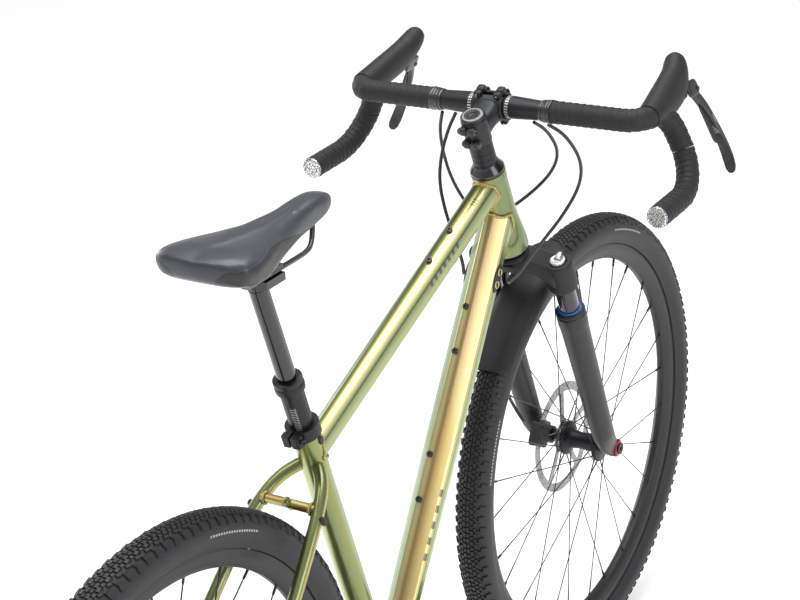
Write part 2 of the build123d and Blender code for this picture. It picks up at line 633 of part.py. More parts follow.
def cut(shape, *others):
    for other in others:
        shape = shape - other
    return shape


add("front_rotor", cut(rotor(front_x, front_rotor_y, front_rotor_radius), pieces["front_hub"]))
add("rear_rotor", cut(rotor(rear_x, rear_rotor_y, rear_rotor_radius), pieces["rear_hub"]))

# ---- axles ----
front_axle = disc(front_x, axle_z, axle_radius, -dropout_outer, dropout_outer)
front_axle += disc(front_x, axle_z, 9, -dropout_outer - 5, -dropout_outer)
front_axle -= disc(front_x, axle_z, 3, -dropout_outer - 6, -dropout_outer - 1)
add("front_axle", front_axle)
rear_axle = disc(rear_x, axle_z, axle_radius, -rear_out, rear_out)
rear_axle += disc(rear_x, axle_z, 9, rear_out, rear_out + 4)
rear_axle -= disc(rear_x, axle_z, 3, rear_out + 1, rear_out + 5)
add("rear_axle", rear_axle)

# ---- brake calipers and pads ----
pad_thickness = 2.6
pad_gap = 0.35
caliper_half = 9.5


def caliper(place, rotor_y, outer_half):
    """Caliper astride the disc, its two pads inside; the disc plane is at rotor_y."""
    slot_half = rotor_thickness / 2 + pad_gap + pad_thickness + 0.4
    low_y, high_y = rotor_y - outer_half - 3, rotor_y + outer_half
    body = Pos(0, (low_y + high_y) / 2, 0) * Box(34, high_y - low_y, 42)
    body = fillet(body.edges().filter_by(Axis.Y), 8)
    body += Pos(-4, low_y + 2, 0) * Rot(90, 0, 0) * Cylinder(13, 8)
    body -= Pos(8, rotor_y, 0) * Box(46, 2 * slot_half, 60)
    pads = []
    for side in (-1, 1):
        pad_y = rotor_y + side * (rotor_thickness / 2 + pad_gap + pad_thickness / 2)
        pad = Pos(2, pad_y, 0) * Box(22, pad_thickness, 24)
        pads.append(place * fillet(pad.edges().filter_by(Axis.Y), 4))
    return place * body, pads


front_caliper_place = STEER * Pos(-12, 0, 65) * Rot(0, 48.8, 0)
front_body, front_pads = caliper(front_caliper_place, front_rotor_y, 6.8)
add("front_caliper", front_body - STEER * lowers)
add("front_pad_inner", front_pads[0])
add("front_pad_outer", front_pads[1])
rear_reach = rear_rotor_radius - 12
rear_angle = 30.0
rear_caliper_place = (Pos(rear_x + rear_reach * cos(radians(rear_angle)), 0,
                          axle_z + rear_reach * sin(radians(rear_angle)))
                      * Rot(0, 180 - rear_angle, 0))
rear_body, rear_pads = caliper(rear_caliper_place, rear_rotor_y, 7.6)
add("rear_caliper", rear_body - chainstay_pair - seatstay_pair)
add("rear_pad_inner", rear_pads[0])
add("rear_pad_outer", rear_pads[1])

# ---- front mudguard under the crown ----
fender_in = wheel_radius + fender_gap
fender_start, fender_end = 101.0, 139.0


def fender_sector(radius_in, radius_out):
    band = Circle(radius_out) - Circle(radius_in)
    far = 2 * radius_out
    wedge = Polygon((0, 0), *[(far * cos(radians(a)), far * sin(radians(a)))
                              for a in (fender_start, (fender_start + fender_end) / 2, fender_end)],
                              align=None)
    return Pos(front_x, axle_z) * (band & wedge)


fender = at_y(fender_sector(fender_in, fender_in + fender_thickness), -fender_half_width,
              fender_half_width)
lip_sector = fender_sector(fender_in - 7, fender_in)
fender += at_y(lip_sector, fender_half_width - fender_thickness, fender_half_width)
fender += at_y(lip_sector, -fender_half_width, -fender_half_width + fender_thickness)
add("front_fender", cut(fender, STEER * lowers))

# ---- headset cover and spacers ----
cover = [(steerer_radius, head_top + side_gap), (cover_radius, head_top + side_gap),
         (cover_radius, head_top + 5),
         (spacer_radius + 1.5, head_top + 15), (spacer_radius, head_top + 17),
         (steerer_radius, head_top + 17)]
spacer_edges = [head_top + 17, head_top + 27, head_top + 37, stem_low]
spacers = [STEER * ring(cover)]
for low, high in zip(spacer_edges, spacer_edges[1:]):
    spacers.append(STEER * ring([(steerer_radius, low), (spacer_radius, low), (spacer_radius, high),
                                 (steerer_radius, high)]))
add("headset_spacers", *spacers)

# ---- stem ----
stem_mid = stem_low + stem_clamp_height / 2
bar_place = Pos(bar_ahead, 0, bar_height)
stem = Pos(0, 0, stem_low) * Cylinder(stem_clamp_radius, stem_clamp_height, align=BASE)
neck = Plane(origin=(0, 0, stem_mid), z_dir=(bar_ahead, 0, bar_height - stem_mid), x_dir=(0, 1, 0))
neck_back = neck * RectangleRounded(34, 36, 11)
neck_front = neck.offset(stem_reach - 8) * RectangleRounded(stem_bar_width - 4, 33, 9)
stem += loft([neck_back, neck_front])
barrel = bar_place * Rot(90, 0, 0) * Cylinder(bar_clamp_radius + 4, stem_bar_width)
ears = bar_place * Pos(0, 0, 0) * Box(13, stem_bar_width, 2 * (bar_clamp_radius + 10))
barrel += fillet(ears.edges().filter_by(Axis.Y), 3)
front_space = bar_place * Pos(24.25, 0, 0) * Box(50, 80, 80)
back_space = bar_place * Pos(-24.25, 0, 0) * Box(50, 80, 80)
bar_hole = bar_place * Rot(90, 0, 0) * Cylinder(bar_clamp_radius, 100)
steerer_hole = Pos(0, 0, stem_low - 1) * Cylinder(steerer_radius, stem_clamp_height + 2, align=BASE)
rear_slot = Pos(-stem_clamp_radius, 0, stem_mid) * Box(12, 2, stem_clamp_height + 2)
rear_lugs = [Pos(-stem_clamp_radius - 1.5, 0, stem_mid + dz) * Box(11, 25, 12) for dz in (-11, 11)]
stem = stem + rear_lugs + (barrel - front_space)
stem = stem - bar_hole - steerer_hole - rear_slot
faceplate = barrel - back_space - bar_hole
bolt_list, bolt_voids = [], []
for sy in (-1, 1):
    for sz in (-1, 1):
        spot = bar_place * Pos(0, sy * (stem_bar_width / 2 - 7), sz * (bar_clamp_radius + 5.8))
        bolt = spot * Rot(0, 90, 0) * (Cylinder(2.4, 24) + Pos(0, 0, 9) * Cylinder(4, 5))
        bolt_list.append(bolt - spot * Rot(0, 90, 0) * Pos(0, 0, 11) * Cylinder(1.8, 4))
        bolt_voids.append(spot * Rot(0, 90, 0) * (Cylinder(2.4, 24) + Pos(0, 0, 14) * Cylinder(4, 15)))
for dz in (-11, 11):
    spot = Pos(-stem_clamp_radius - 3.5, 0, stem_mid + dz) * Rot(90, 0, 0)
    bolt = spot * (Cylinder(2.4, 24) + Pos(0, 0, 12) * Cylinder(4, 6))
    bolt_list.append(bolt - spot * Pos(0, 0, 14) * Cylinder(1.8, 3))
    bolt_voids.append(spot * (Cylinder(2.4, 24) + Pos(0, 0, 16) * Cylinder(4, 14)))
for void in bolt_voids:
    stem -= void
    faceplate -= void
top_cap = ring([(0, stem_low + stem_clamp_height), (stem_clamp_radius - 0.4,
                                                    stem_low + stem_clamp_height),
                (stem_clamp_radius - 0.4, stem_low + stem_clamp_height + 3),
                (stem_clamp_radius - 3, stem_low + stem_clamp_height + cap_height),
                (6, stem_low + stem_clamp_height + cap_height), (6, stem_low + stem_clamp_height + 2.5),
                (0, stem_low + stem_clamp_height + 2.5)])
add("stem", STEER * stem)
add("stem_faceplate", STEER * faceplate)
add("stem_bolts", *[STEER * b for b in bolt_list], STEER * top_cap)

# ---- handlebar ----
flare_out = sin(radians(bar_flare))
flare_down = cos(radians(bar_flare))


def drop_point(ahead, up, out=0.0):
    """Point of the left drop: ahead of the bar's axis, up in the flared plane, out from it."""
    return Vector(ahead, bar_width / 2 - up * flare_out + out * flare_down,
                  up * flare_down + out * flare_out)


bar_points = [Vector(0, bar_taper_end, 0), Vector(0, bar_width / 2, 0), drop_point(bar_reach, 0),
              drop_point(bar_reach, -bar_drop), drop_point(bar_reach - bar_low_hook - bar_tail,
                                                           -bar_drop)]
bar_path = FilletPolyline(*bar_points, radius=(bar_bend, bar_top_hook, bar_low_hook))


def along_bar(outer, inner):
    start = Plane(origin=bar_path @ 0, z_dir=bar_path % 0)
    tube = sweep(start * Circle(outer), bar_path)
    if inner:
        tube -= sweep(start * Circle(inner), bar_path)
    return tube


half_tube = along_bar(bar_radius, bar_radius - bar_wall)
middle = revolve(Plane.XY * Polygon((bar_clamp_radius - 2.4, 0), (bar_clamp_radius, 0),
                                    (bar_clamp_radius, 34),
                                    (bar_bare_radius, bar_taper_end),
                                    (bar_radius - bar_wall, bar_taper_end),
                                    align=None), Axis.Y)
plug_end = bar_path @ 1
plug_way = (bar_path % 1).normalized()
plug = rod(plug_end, plug_end + plug_way * 4, tape_radius - 0.5, tape_radius - 2)
plug += rod(plug_end - plug_way * 20, plug_end, bar_radius - bar_wall)
half_bar = half_tube + middle
tape = along_bar(tape_radius, bar_radius)
add("handlebar", BAR * (half_bar + mirrored(half_bar)), BAR * plug, BAR * mirrored(plug))
add("bar_tape", BAR * tape, BAR * mirrored(tape))

# ---- lever hoods, brake levers, shift paddles ----
hood_sections = [((34, 1), (1, 0.0), 36, 40), ((72, 6), (1, 0.1), 40, 48), ((112, 12), (1, 0.35), 40, 50),
                 ((138, 34), (0.6, 1), 34, 34), ((146, 51), (0.15, 1), 22, 24)]
side_out = Vector(0, flare_down, flare_out)


def drop_plane(point, way):
    origin = drop_point(*point)
    along = (drop_point(point[0] + way[0], point[1] + way[1]) - origin).normalized()
    return Plane(origin=origin, x_dir=side_out, z_dir=along)


hood = loft([drop_plane(p, w) * RectangleRounded(a, b, min(a, b) / 2 - 1) for p, w, a,
             b in hood_sections])
pivot = (150.0, -4.0)
lever_slot_half = 6.5
pivot_origin = drop_point(*pivot)


def drop_plate(sketch, half):
    """Plate in the flared plane of the drop; the sketch's x is ahead and its y is up."""
    plane = Plane(origin=drop_point(0, 0), x_dir=(1, 0, 0), z_dir=side_out * -1)
    return plane.location * Pos(0, 0, -half) * extrude(sketch, 2 * half)


lever_face = make_hull((Pos(150, -4) * Circle(8)).edges() + (Pos(167, -26) * Circle(7.5)).edges())
blade_face = Sketch() + lever_face
for (x0, y0, r0), (x1, y1, r1) in (((167, -26, 7.5), (175, -58, 6.5)), ((175, -58, 6.5), (175, -96, 5.5)),
                                    ((175, -96, 5.5), (167, -134, 4.5))):
    blade_face += make_hull((Pos(x0, y0) * Circle(r0)).edges() + (Pos(x1, y1) * Circle(r1)).edges())
lever = drop_plate(blade_face, lever_slot_half - 0.6)
window = make_hull((Pos(172.5, -52) * Circle(2.2)).edges() + (Pos(175.5, -78) * Circle(2.2)).edges())
lever -= drop_plate(window, 20)
pin_line = side_out * 14
pin_hole = rod(pivot_origin - pin_line * 1.2, pivot_origin + pin_line * 1.2, 2.5 + running_gap)
lever -= pin_hole
pivot_pin = rod(pivot_origin - pin_line, pivot_origin + pin_line, 2.5)
lever_space = make_hull((Pos(150, -4) * Circle(10)).edges() + (Pos(126, -34) * Circle(12)).edges()
                        + (Pos(196, -30) * Circle(16)).edges() + (Pos(176, -90) * Circle(10)).edges())
hood_body = hood - drop_plate(lever_space, lever_slot_half) - along_bar(tape_radius, 0) - pivot_pin
hood_body = max(hood_body.solids(), key=lambda s: s.volume)
paddle_half = 2.0
paddle_axis_ahead, paddle_axis_up = 157, -30
paddle_root = Pos(paddle_axis_ahead, paddle_axis_up) * Circle(4)
paddle_face = (make_hull(paddle_root.edges() + (Pos(158, -52) * Circle(5)).edges())
               + make_hull((Pos(158, -52) * Circle(5)).edges() + (Pos(160, -82) * Circle(8)).edges()))
paddle = drop_plate(paddle_face, paddle_half)
paddle_gap = 1.1              # beside the paddle, for its swing
paddle_top = drop_point(paddle_axis_ahead, paddle_axis_up)
paddle_pin = rod(paddle_top - Vector(6, 0, 0), paddle_top + Vector(6, 0, 0), paddle_half)
paddle = paddle + paddle_pin
lever = lever - drop_plate(offset(paddle_face, paddle_gap), paddle_half + paddle_gap)
lever -= rod(paddle_top - Vector(7, 0, 0), paddle_top + Vector(7, 0, 0), paddle_half + side_gap)
hoods = BAR * hood_body
add("lever_hoods", hoods, BAR * pivot_pin, mirrored(hoods), BAR * mirrored(pivot_pin))
add("brake_lever_left", BAR * lever)
add("brake_lever_right", mirrored(BAR * lever))
add("shift_paddle_left", BAR * paddle)
add("shift_paddle_right", mirrored(BAR * paddle))


# ---- drivetrain ----
def sprocket(teeth, thickness_half, bore):
    """Toothed disc centred on the origin of the side view."""
    pitch = teeth * chain_pitch / (2 * pi)
    points = []
    for i in range(teeth):
        for share, radius in ((0.18, pitch - 3.4), (0.36, pitch + 2.6), (0.64, pitch + 2.6),
                              (0.82, pitch - 3.4)):
            a = 2 * pi * (i + share) / teeth
            points.append((radius * cos(a), radius * sin(a)))
    return Polygon(*points, align=None) - Circle(bore)


def at_crank(sketch, y_low, y_high):
    return at_y(Pos(crank_x, crank_z) * sketch, y_low, y_high)


chainring = at_crank(sprocket(chainring_teeth, tooth_half, 62), chain_y - tooth_half,
                     chain_y + tooth_half)
spider = Circle(22) - Circle(spindle_radius)
for i in range(4):
    spider += Rot(0, 0, 45 + 90 * i) * Pos(42, 0) * Rectangle(56, 14)
spider_plate = at_crank(spider - Circle(spindle_radius), chain_y - 5.5, chain_y - tooth_half)
crank_out = 62.0


def crank_arm(way, y_low, y_high):
    tip = (crank_x + way * crank_length, crank_z)
    arm = hull_plate([(crank_x, crank_z, 19), (tip[0], tip[1], 13)], y_low, y_high)
    return fillet(arm.edges().filter_by(Axis.Y, reverse=True), 2.5) - disc(tip[0], tip[1], 7, -200, 200)


spindle = disc(crank_x, crank_z, spindle_radius, -crank_out - 12, crank_out + 12)
right_arm = crank_arm(1, -crank_out - 14, -crank_out)
left_arm = crank_arm(-1, crank_out, crank_out + 14)
boss_right = disc(crank_x, crank_z, 20, -crank_out, -crank_out + 10) - disc(crank_x, crank_z,
                                                                            spindle_radius, -90, 90)
crank_parts = [spindle, right_arm - spindle, left_arm - spindle, boss_right - spindle,
               spider_plate - spindle - boss_right, chainring]


def pedal(way, side):
    """Platform pedal on its threaded spindle, level with the crank tip."""
    x, z = crank_x + way * crank_length, crank_z
    inner, outer = (crank_out + 16), (crank_out + 16 + pedal_length)
    frame_part = Pos(x, (inner + outer) / 2 + 6, z) * Box(pedal_width, pedal_length - 12, 13)
    frame_part = fillet(frame_part.edges().filter_by(Axis.Z), 12)
    for dx in (-1, 1):
        frame_part -= Pos(x + dx * 27, (inner + outer) / 2 + 6, z) * Box(24, pedal_length - 34, 30)
    frame_part += disc(x, z, 8.5, inner + 4, outer)
    pins = [Pos(x + dx, (inner + outer) / 2 + dy, z) * Cylinder(1.6, 19)
            for dx in (-42, 42) for dy in (-30, 0, 30)]
    body = frame_part + pins
    shaft = disc(x, z, 7, crank_out, crank_out + 14) + disc(x, z, 5, crank_out + 14, outer - 10)
    body = body - disc(x, z, 5 + running_gap, crank_out, outer - 9)
    if side < 0:
        return mirrored(body), mirrored(shaft)
    return body, shaft


left_pedal, left_shaft = pedal(-1, 1)
right_pedal, right_shaft = pedal(1, -1)
add("pedal_left", left_pedal)
add("pedal_right", right_pedal)
add("crankset", *crank_parts, left_shaft, right_shaft)

cassette_parts = []
first_cog = chain_y - cog_spacing * cog_teeth.index(chain_cog)
for i, teeth in enumerate(cog_teeth):
    y = first_cog + i * cog_spacing
    pitch = teeth * chain_pitch / (2 * pi)
    face = sprocket(teeth, tooth_half, freehub_radius - 1)
    if teeth > 24:
        for k in range(6):
            face -= Rot(0, 0, 60 * k) * Pos((pitch + 17) / 2, 0) * RectangleRounded(pitch - 30, 12, 4)
    cassette_parts.append(at_y(Pos(rear_x, axle_z) * face, y - tooth_half, y + tooth_half))
carrier_high = first_cog + cog_spacing * (len(cog_teeth) - 1)
cassette = at_y(Pos(rear_x, axle_z) * (Circle(freehub_radius) - Circle(hub_sleeve_radius + running_gap)),
                first_cog - 2.2, carrier_high)
for cog in cassette_parts:
    cassette += cog
add("cassette", cassette)

# derailleur: hanger knuckle, parallelogram body, sprung cage with two guide wheels
upper_wheel = (rear_x - 2.0, axle_z - 82.0)
lower_wheel = (rear_x + 42.0, axle_z - 128.0)
cage_pivot = upper_wheel
knuckle = (rear_x - 8, axle_z - 30)
cage_half = 5.6
derailleur = hull_plate([(knuckle[0], knuckle[1], 9), (knuckle[0] - 14, knuckle[1] - 16, 8)],
                        -rear_out - 16, -rear_out - side_gap)
derailleur += disc(knuckle[0], knuckle[1], 4, -rear_out - side_gap, -dropout_in)
derailleur += hull_plate([(knuckle[0] - 14, knuckle[1] - 16, 8),
                          (cage_pivot[0] - 4, cage_pivot[1] + 4, 10)],
                         -rear_out - 16, chain_y - cage_half - 3.4)
derailleur += disc(cage_pivot[0], cage_pivot[1], 10, -rear_out - 16, chain_y - cage_half - 3.4)
cage_bolt_low = disc(lower_wheel[0], lower_wheel[1], 2.5, chain_y - cage_half - 2,
                     chain_y + cage_half + 2)
cage_plates = [hull_plate([(*upper_wheel, 11), (*lower_wheel, 10)], y, y + 2)
               for y in (chain_y - cage_half - 2, chain_y + cage_half)]
cage = cage_plates[0] + cage_plates[1] + cage_bolt_low
cage += disc(cage_pivot[0], cage_pivot[1], 2.5, chain_y - cage_half - 2, chain_y + cage_half + 2)
add("derailleur_cage", cage)
add("derailleur_body", derailleur - chainstay_pair)


def jockey(centre):
    wheel_face = sprocket(jockey_teeth, tooth_half, 2.5 + running_gap)
    thin = at_y(Pos(*centre) * wheel_face, chain_y - tooth_half, chain_y + tooth_half)
    boss = at_y(Pos(*centre) * (Circle(9) - Circle(2.5 + running_gap)), chain_y - cage_half + side_gap,
                chain_y + cage_half - side_gap)
    return thin + boss


add("jockey_upper", jockey(upper_wheel))
add("jockey_lower", jockey(lower_wheel))


def tangent(first, second):
    """Ends of the chain's straight run between two wheels given as x, z, radius, turn (+1 or -1)."""
    (x0, z0, r0, s0), (x1, z1, r1, s1) = first, second
    way = atan2(z1 - z0, x1 - x0)
    gap = hypot(x1 - x0, z1 - z0)
    lean = acos((s0 * r0 - s1 * r1) / gap)
    a = way - lean
    return ((x0 + s0 * r0 * cos(a), z0 + s0 * r0 * sin(a)),
            (x1 + s1 * r1 * cos(a), z1 + s1 * r1 * sin(a)))


chain_wheels = [(crank_x, crank_z, ring_radius, 1), (rear_x, axle_z, cog_radius, 1),
                (*upper_wheel, jockey_radius, -1), (*lower_wheel, jockey_radius, 1)]
runs = [tangent(chain_wheels[i], chain_wheels[(i + 1) % 4]) for i in range(4)]
chain_edges = []
for i, (start, end) in enumerate(runs):
    chain_edges.append(Line(start, end))
    x, z, radius, turn = chain_wheels[(i + 1) % 4]
    leave = runs[(i + 1) % 4][0]
    a0 = atan2(end[1] - z, end[0] - x)
    a1 = atan2(leave[1] - z, leave[0] - x)
    sweep_angle = (a1 - a0) * turn % (2 * pi) * turn
    middle_angle = a0 + sweep_angle / 2
    chain_edges.append(ThreePointArc(end, (x + radius * cos(middle_angle),
                                           z + radius * sin(middle_angle)), leave))
loop_face = make_face(Curve() + chain_edges)
plate_half_height = 3.9
band_face = offset(loop_face, plate_half_height) - offset(loop_face, -plate_half_height)
plate_in, plate_out = 1.4, 2.6
chain = [at_y(band_face, chain_y + plate_in, chain_y + plate_out),
         at_y(band_face, chain_y - plate_out, chain_y - plate_in)]
roller_start = 38.0           # beyond the reach of the teeth
chain_pins = []
for start, end in (runs[0], runs[3]):
    length = hypot(end[0] - start[0], end[1] - start[1])
    count = int((length - 2 * roller_start) // chain_pitch)
    for k in range(count):
        part = (roller_start + k * chain_pitch) / length
        chain_pins.append((start[0] + (end[0] - start[0]) * part, start[1] + (end[1] - start[1]) * part))
rollers = Sketch() + [Pos(*p) * Circle(3.4) for p in chain_pins]
add("chain", chain[0] + chain[1] + at_y(rollers, chain_y - plate_in - 0.2, chain_y + plate_in + 0.2))

# ---- brake hoses and gear cables ----
hose_radius = 2.5


def hose(points):
    """Tube along straight runs joined by tangent arcs as large as the runs allow."""
    points = [Vector(*p) for p in points]
    radii = []
    for a, b, c in zip(points, points[1:], points[2:]):
        turn = radians((b - a).get_angle(c - b))
        radii.append(0.45 * min((b - a).length, (c - b).length) / (sin(turn / 2) / cos(turn / 2)))
    path = FilletPolyline(*points, radius=radii)
    tube = sweep(Plane(origin=path @ 0, z_dir=path % 0) * Circle(hose_radius), path)
    length = path.length
    print("hose", round(length), "radii", [round(r) for r in radii],
          "volume share", round(tube.volume / (pi * hose_radius**2 * length), 4))
    return tube


leg_route = [(62, 86, 436), (58, 90, 402), (48, 93, 366), (34, 93, 322), (20, 92, 276), (10, 90, 228),
             (0, 84, 182), (-12, 72, 144), (-22, 56, 120), (-30, 42, 106)]


def from_bar(points):
    """Places given from the middle of the handlebar: ahead, left, up."""
    return [(bar_centre.X + x, y, bar_centre.Z + z) for x, y, z in points]


def into_port(side, x, y, z):
    """Place given from the mouth of a cable port, outward positive."""
    return (port_centre.X + x, side * (port_half + y), port_centre.Z + z)


front_hose = from_bar([(2.8, 84, -20), (14.8, 98, -50), (32.8, 106, -92), (50.8, 106, -138),
                       (68.8, 96, -180)])
front_hose += [tuple(steer_foot + steer_ahead * x + Vector(0, y, 0) + steer_up * z) for x, y,
               z in leg_route]
right_outer = from_bar([(2.8, -84, -20), (20.8, -100, -38), (50.8, -108, -83), (64.8, -98, -126),
                        (50.8, -76, -170),
                        (20.8, -56, -203)])
right_inner = from_bar([(2.8, -62, -19), (28.8, -68, -38), (64.8, -66, -80), (82.8, -44, -120),
                        (76.8, -10, -156),
                        (50.8, 24, -182), (10.8, 40, -208)])
left_inner = from_bar([(2.8, 62, -19), (2.8, 76, -44), (-1.2, 88, -82), (-5.2, 92, -122),
                       (-11.2, 82, -160),
                       (-23.2, 62, -196)])
right_outer += [into_port(-1, 33.7, 17, -0.6), into_port(-1, 13.7, 8, -10.6)]
right_inner += [into_port(1, 27.7, 13, -0.6), into_port(1, 9.7, 7, -14.6)]
left_inner += [into_port(1, 13.7, 15, 11.4), into_port(1, 1.7, 7, -2.6)]
hose_routes = {"right_cables": [right_outer, right_inner], "left_cables": [left_inner, front_hose]}
for name, routes in hose_routes.items():
    add(name, *[hose(route) for route in routes])

os.makedirs("parts", exist_ok=True)
for name, shape in pieces.items():
    export_step(shape, "parts/" + name + ".step")
print(len(pieces), "pieces")
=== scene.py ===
import json
from math import cos, pi, radians, sin

import bpy
import numpy as np
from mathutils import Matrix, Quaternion, Vector


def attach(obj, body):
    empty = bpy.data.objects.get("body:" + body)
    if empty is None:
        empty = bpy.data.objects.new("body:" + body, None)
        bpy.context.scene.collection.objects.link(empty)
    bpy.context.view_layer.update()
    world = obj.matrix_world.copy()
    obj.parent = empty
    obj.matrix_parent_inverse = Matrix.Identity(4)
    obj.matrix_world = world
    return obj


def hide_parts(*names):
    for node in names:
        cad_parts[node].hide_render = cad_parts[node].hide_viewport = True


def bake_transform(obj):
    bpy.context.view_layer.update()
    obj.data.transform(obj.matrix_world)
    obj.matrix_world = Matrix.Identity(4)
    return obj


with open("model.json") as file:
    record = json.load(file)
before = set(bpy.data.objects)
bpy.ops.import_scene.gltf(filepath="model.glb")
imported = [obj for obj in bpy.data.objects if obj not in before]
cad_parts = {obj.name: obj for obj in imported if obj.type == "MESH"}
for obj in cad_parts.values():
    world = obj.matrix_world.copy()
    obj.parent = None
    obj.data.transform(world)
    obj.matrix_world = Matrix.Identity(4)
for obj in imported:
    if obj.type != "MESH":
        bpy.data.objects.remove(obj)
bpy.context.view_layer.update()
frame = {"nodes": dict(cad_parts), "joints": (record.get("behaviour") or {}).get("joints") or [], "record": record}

# ---- Head tube ----
# The steering bearings sit in this short hydroformed alloy tube, flared at its lower end.
# It is machined, then painted with the rest of the frame in a colour-shifting green and gold.
joints = {joint["name"]: joint for joint in frame["joints"]}
LEFT = np.array([0.0, 1.0, 0.0])
UP = np.array([0.0, 0.0, 1.0])
AHEAD = np.array([1.0, 0.0, 0.0])
front_axle = np.array(joints["front_wheel_spin"]["pos_m"])
rear_axle = np.array(joints["rear_wheel_spin"]["pos_m"])
crank = np.array(joints["crank_spin"]["pos_m"])
steer_up = np.array(joints["steering"]["axis"])
steer_ahead = np.cross(LEFT, steer_up)
steer_pivot = np.array(joints["steering"]["pos_m"])
steer_foot = steer_pivot + steer_up * ((front_axle - steer_pivot) @ steer_up)
seat_up = np.array(joints["seatpost_drop"]["axis"])
seat_ahead = np.cross(LEFT, seat_up)


class Wire:
    """A value on its way between the nodes of a material. Sums and products of it add Math nodes,
    and node() adds any other node."""

    def __init__(self, tree, socket):
        self.tree, self.socket = tree, socket

    def node(self, kind, settings=None, sockets=None, out=0):
        made = self.tree.nodes.new("ShaderNode" + kind)
        for name, value in (settings or {}).items():
            if name == "stops":
                for k, (place, colour) in enumerate(value):
                    elements = made.color_ramp.elements
                    stop = elements[k] if k < 2 else elements.new(place)
                    stop.position = place
                    stop.color = (*colour, 1.0)
            else:
                setattr(made, name, value)
        for name, value in (sockets or {}).items():
            if isinstance(value, Wire):
                self.tree.links.new(value.socket, made.inputs[name])
            elif made.inputs[name].type == "RGBA":
                made.inputs[name].default_value = (*value, 1.0)
            else:
                made.inputs[name].default_value = value
        return Wire(self.tree, made.outputs[out])

    def maths(self, operation, first, second=0.0):
        return self.node("Math", {"operation": operation}, {0: first, 1: second})

    def sine(self):
        return self.maths("SINE", self)

    def size(self):
        return self.maths("ABSOLUTE", self)

    def repeats(self, count):
        """Runs from 0 to 1 `count` times while this runs once."""
        return (self * count).maths("FRACT", self * count)

    def __add__(self, other):
        return self.maths("ADD", self, other)

    def __sub__(self, other):
        return self.maths("SUBTRACT", self, other)

    def __rsub__(self, other):
        return self.maths("SUBTRACT", other, self)

    def __mul__(self, other):
        return self.maths("MULTIPLY", self, other)

    __radd__ = __add__
    __rmul__ = __mul__

    def above(self, edge, soft):
        """0 under edge, 1 over edge + soft, straight between them."""
        ends = {"From Min": edge, "From Max": edge + soft, "Value": self}
        return self.node("MapRange", {"clamp": True}, ends)

    def between(self, low, high, soft):
        """1 from low to high, 0 outside them."""
        return self.above(low, soft) * (1 - self.above(high, soft))

    def mixed(self, first, second):
        """The first colour where this is 0, the second where it is 1."""
        return self.node("Mix", {"data_type": "RGBA"}, {0: self, 6: first, 7: second}, 2)

    def noise(self, scale, detail=2.0):
        return self.node("TexNoise", None, {"Vector": self, "Scale": scale, "Detail": detail})

    def part(self, letter):
        return self.node("SeparateXYZ", None, {"Vector": self}, letter)


def finish(name, constants):
    """A material: one Principled shader with the constants on its sockets. Gives back the
    material, its Object coordinates, its UV coordinates, and a way to feed its sockets."""
    made = bpy.data.materials.new(name)
    made.use_nodes = True
    tree = made.node_tree
    shader = tree.nodes["Principled BSDF"]
    for socket, value in constants.items():
        wide = shader.inputs[socket].type == "RGBA"
        shader.inputs[socket].default_value = (*value, 1.0) if wide else value
    start = Wire(tree, None)

    def feed(socket, wire):
        tree.links.new(wire.socket, shader.inputs[socket])

    def bump(height, distance, strength=1.0):
        relief = {"Height": height, "Distance": distance, "Strength": strength}
        feed("Normal", start.node("Bump", None, relief))

    place = start.node("TexCoord", out="Object")
    around = start.node("UVMap")
    return made, place, around, feed, bump


def grained(name, constants, tint, rough, relief=None):
    """A finish that noises vary. Each is (scale, detail, ...): tint goes on with the colours it runs
    between, rough with its gain and base, and relief with its depth and strength."""
    made, place, around, feed, bump = finish(name, constants)
    feed("Base Color", place.noise(*tint[:2]).mixed(*tint[2:]))
    feed("Roughness", place.noise(*rough[:2]) * rough[2] + rough[3])
    if relief:
        bump(place.noise(*relief[:2]), *relief[2:])
    return made


def painted(name, stops, marks=()):
    """Metallic base coat whose tint runs round the tube through the stops, with fine flake, under
    clear lacquer. The stops hold the paint's green and gold with painted highlights and painted shade
    fixed round the tube. Marks are dark printed bars: low and high ends along and around the tube."""
    made, place, around, feed, bump = finish(name, {
        "Metallic": 0.82, "Coat Weight": 0.85, "Coat Roughness": 0.04, "Coat IOR": 1.5,
        "Specular Tint": (0.80, 1.0, 0.86)})
    # The ramp round the tube paints highlights on the crests and shade on the facets turned away.
    tint = around.node("ValToRGB", {"stops": stops}, {"Fac": around.part("Y")})
    flake = place.noise(2600.0, 1.0)
    cloud = place.noise(9.0, 1.0)
    colour = (flake.above(0.56, 0.16) * 0.14).mixed(tint, (0.62, 0.55, 0.24))
    colour = (cloud.above(0.45, 0.3) * 0.14).mixed(colour, (0.17, 0.21, 0.07))
    for low, high, under, over in marks:
        along = around.part("X").between(low, high, 0.0008)
        bar = along * around.part("Y").between(under, over, 0.004)
        colour = (bar * 0.85).mixed(colour, (0.035, 0.05, 0.03))
    feed("Base Color", colour)
    feed("Roughness", flake * 0.10 + 0.24)
    bump(flake + place.noise(60.0, 1.0) * 0.5, 0.00006, 0.5)
    return made


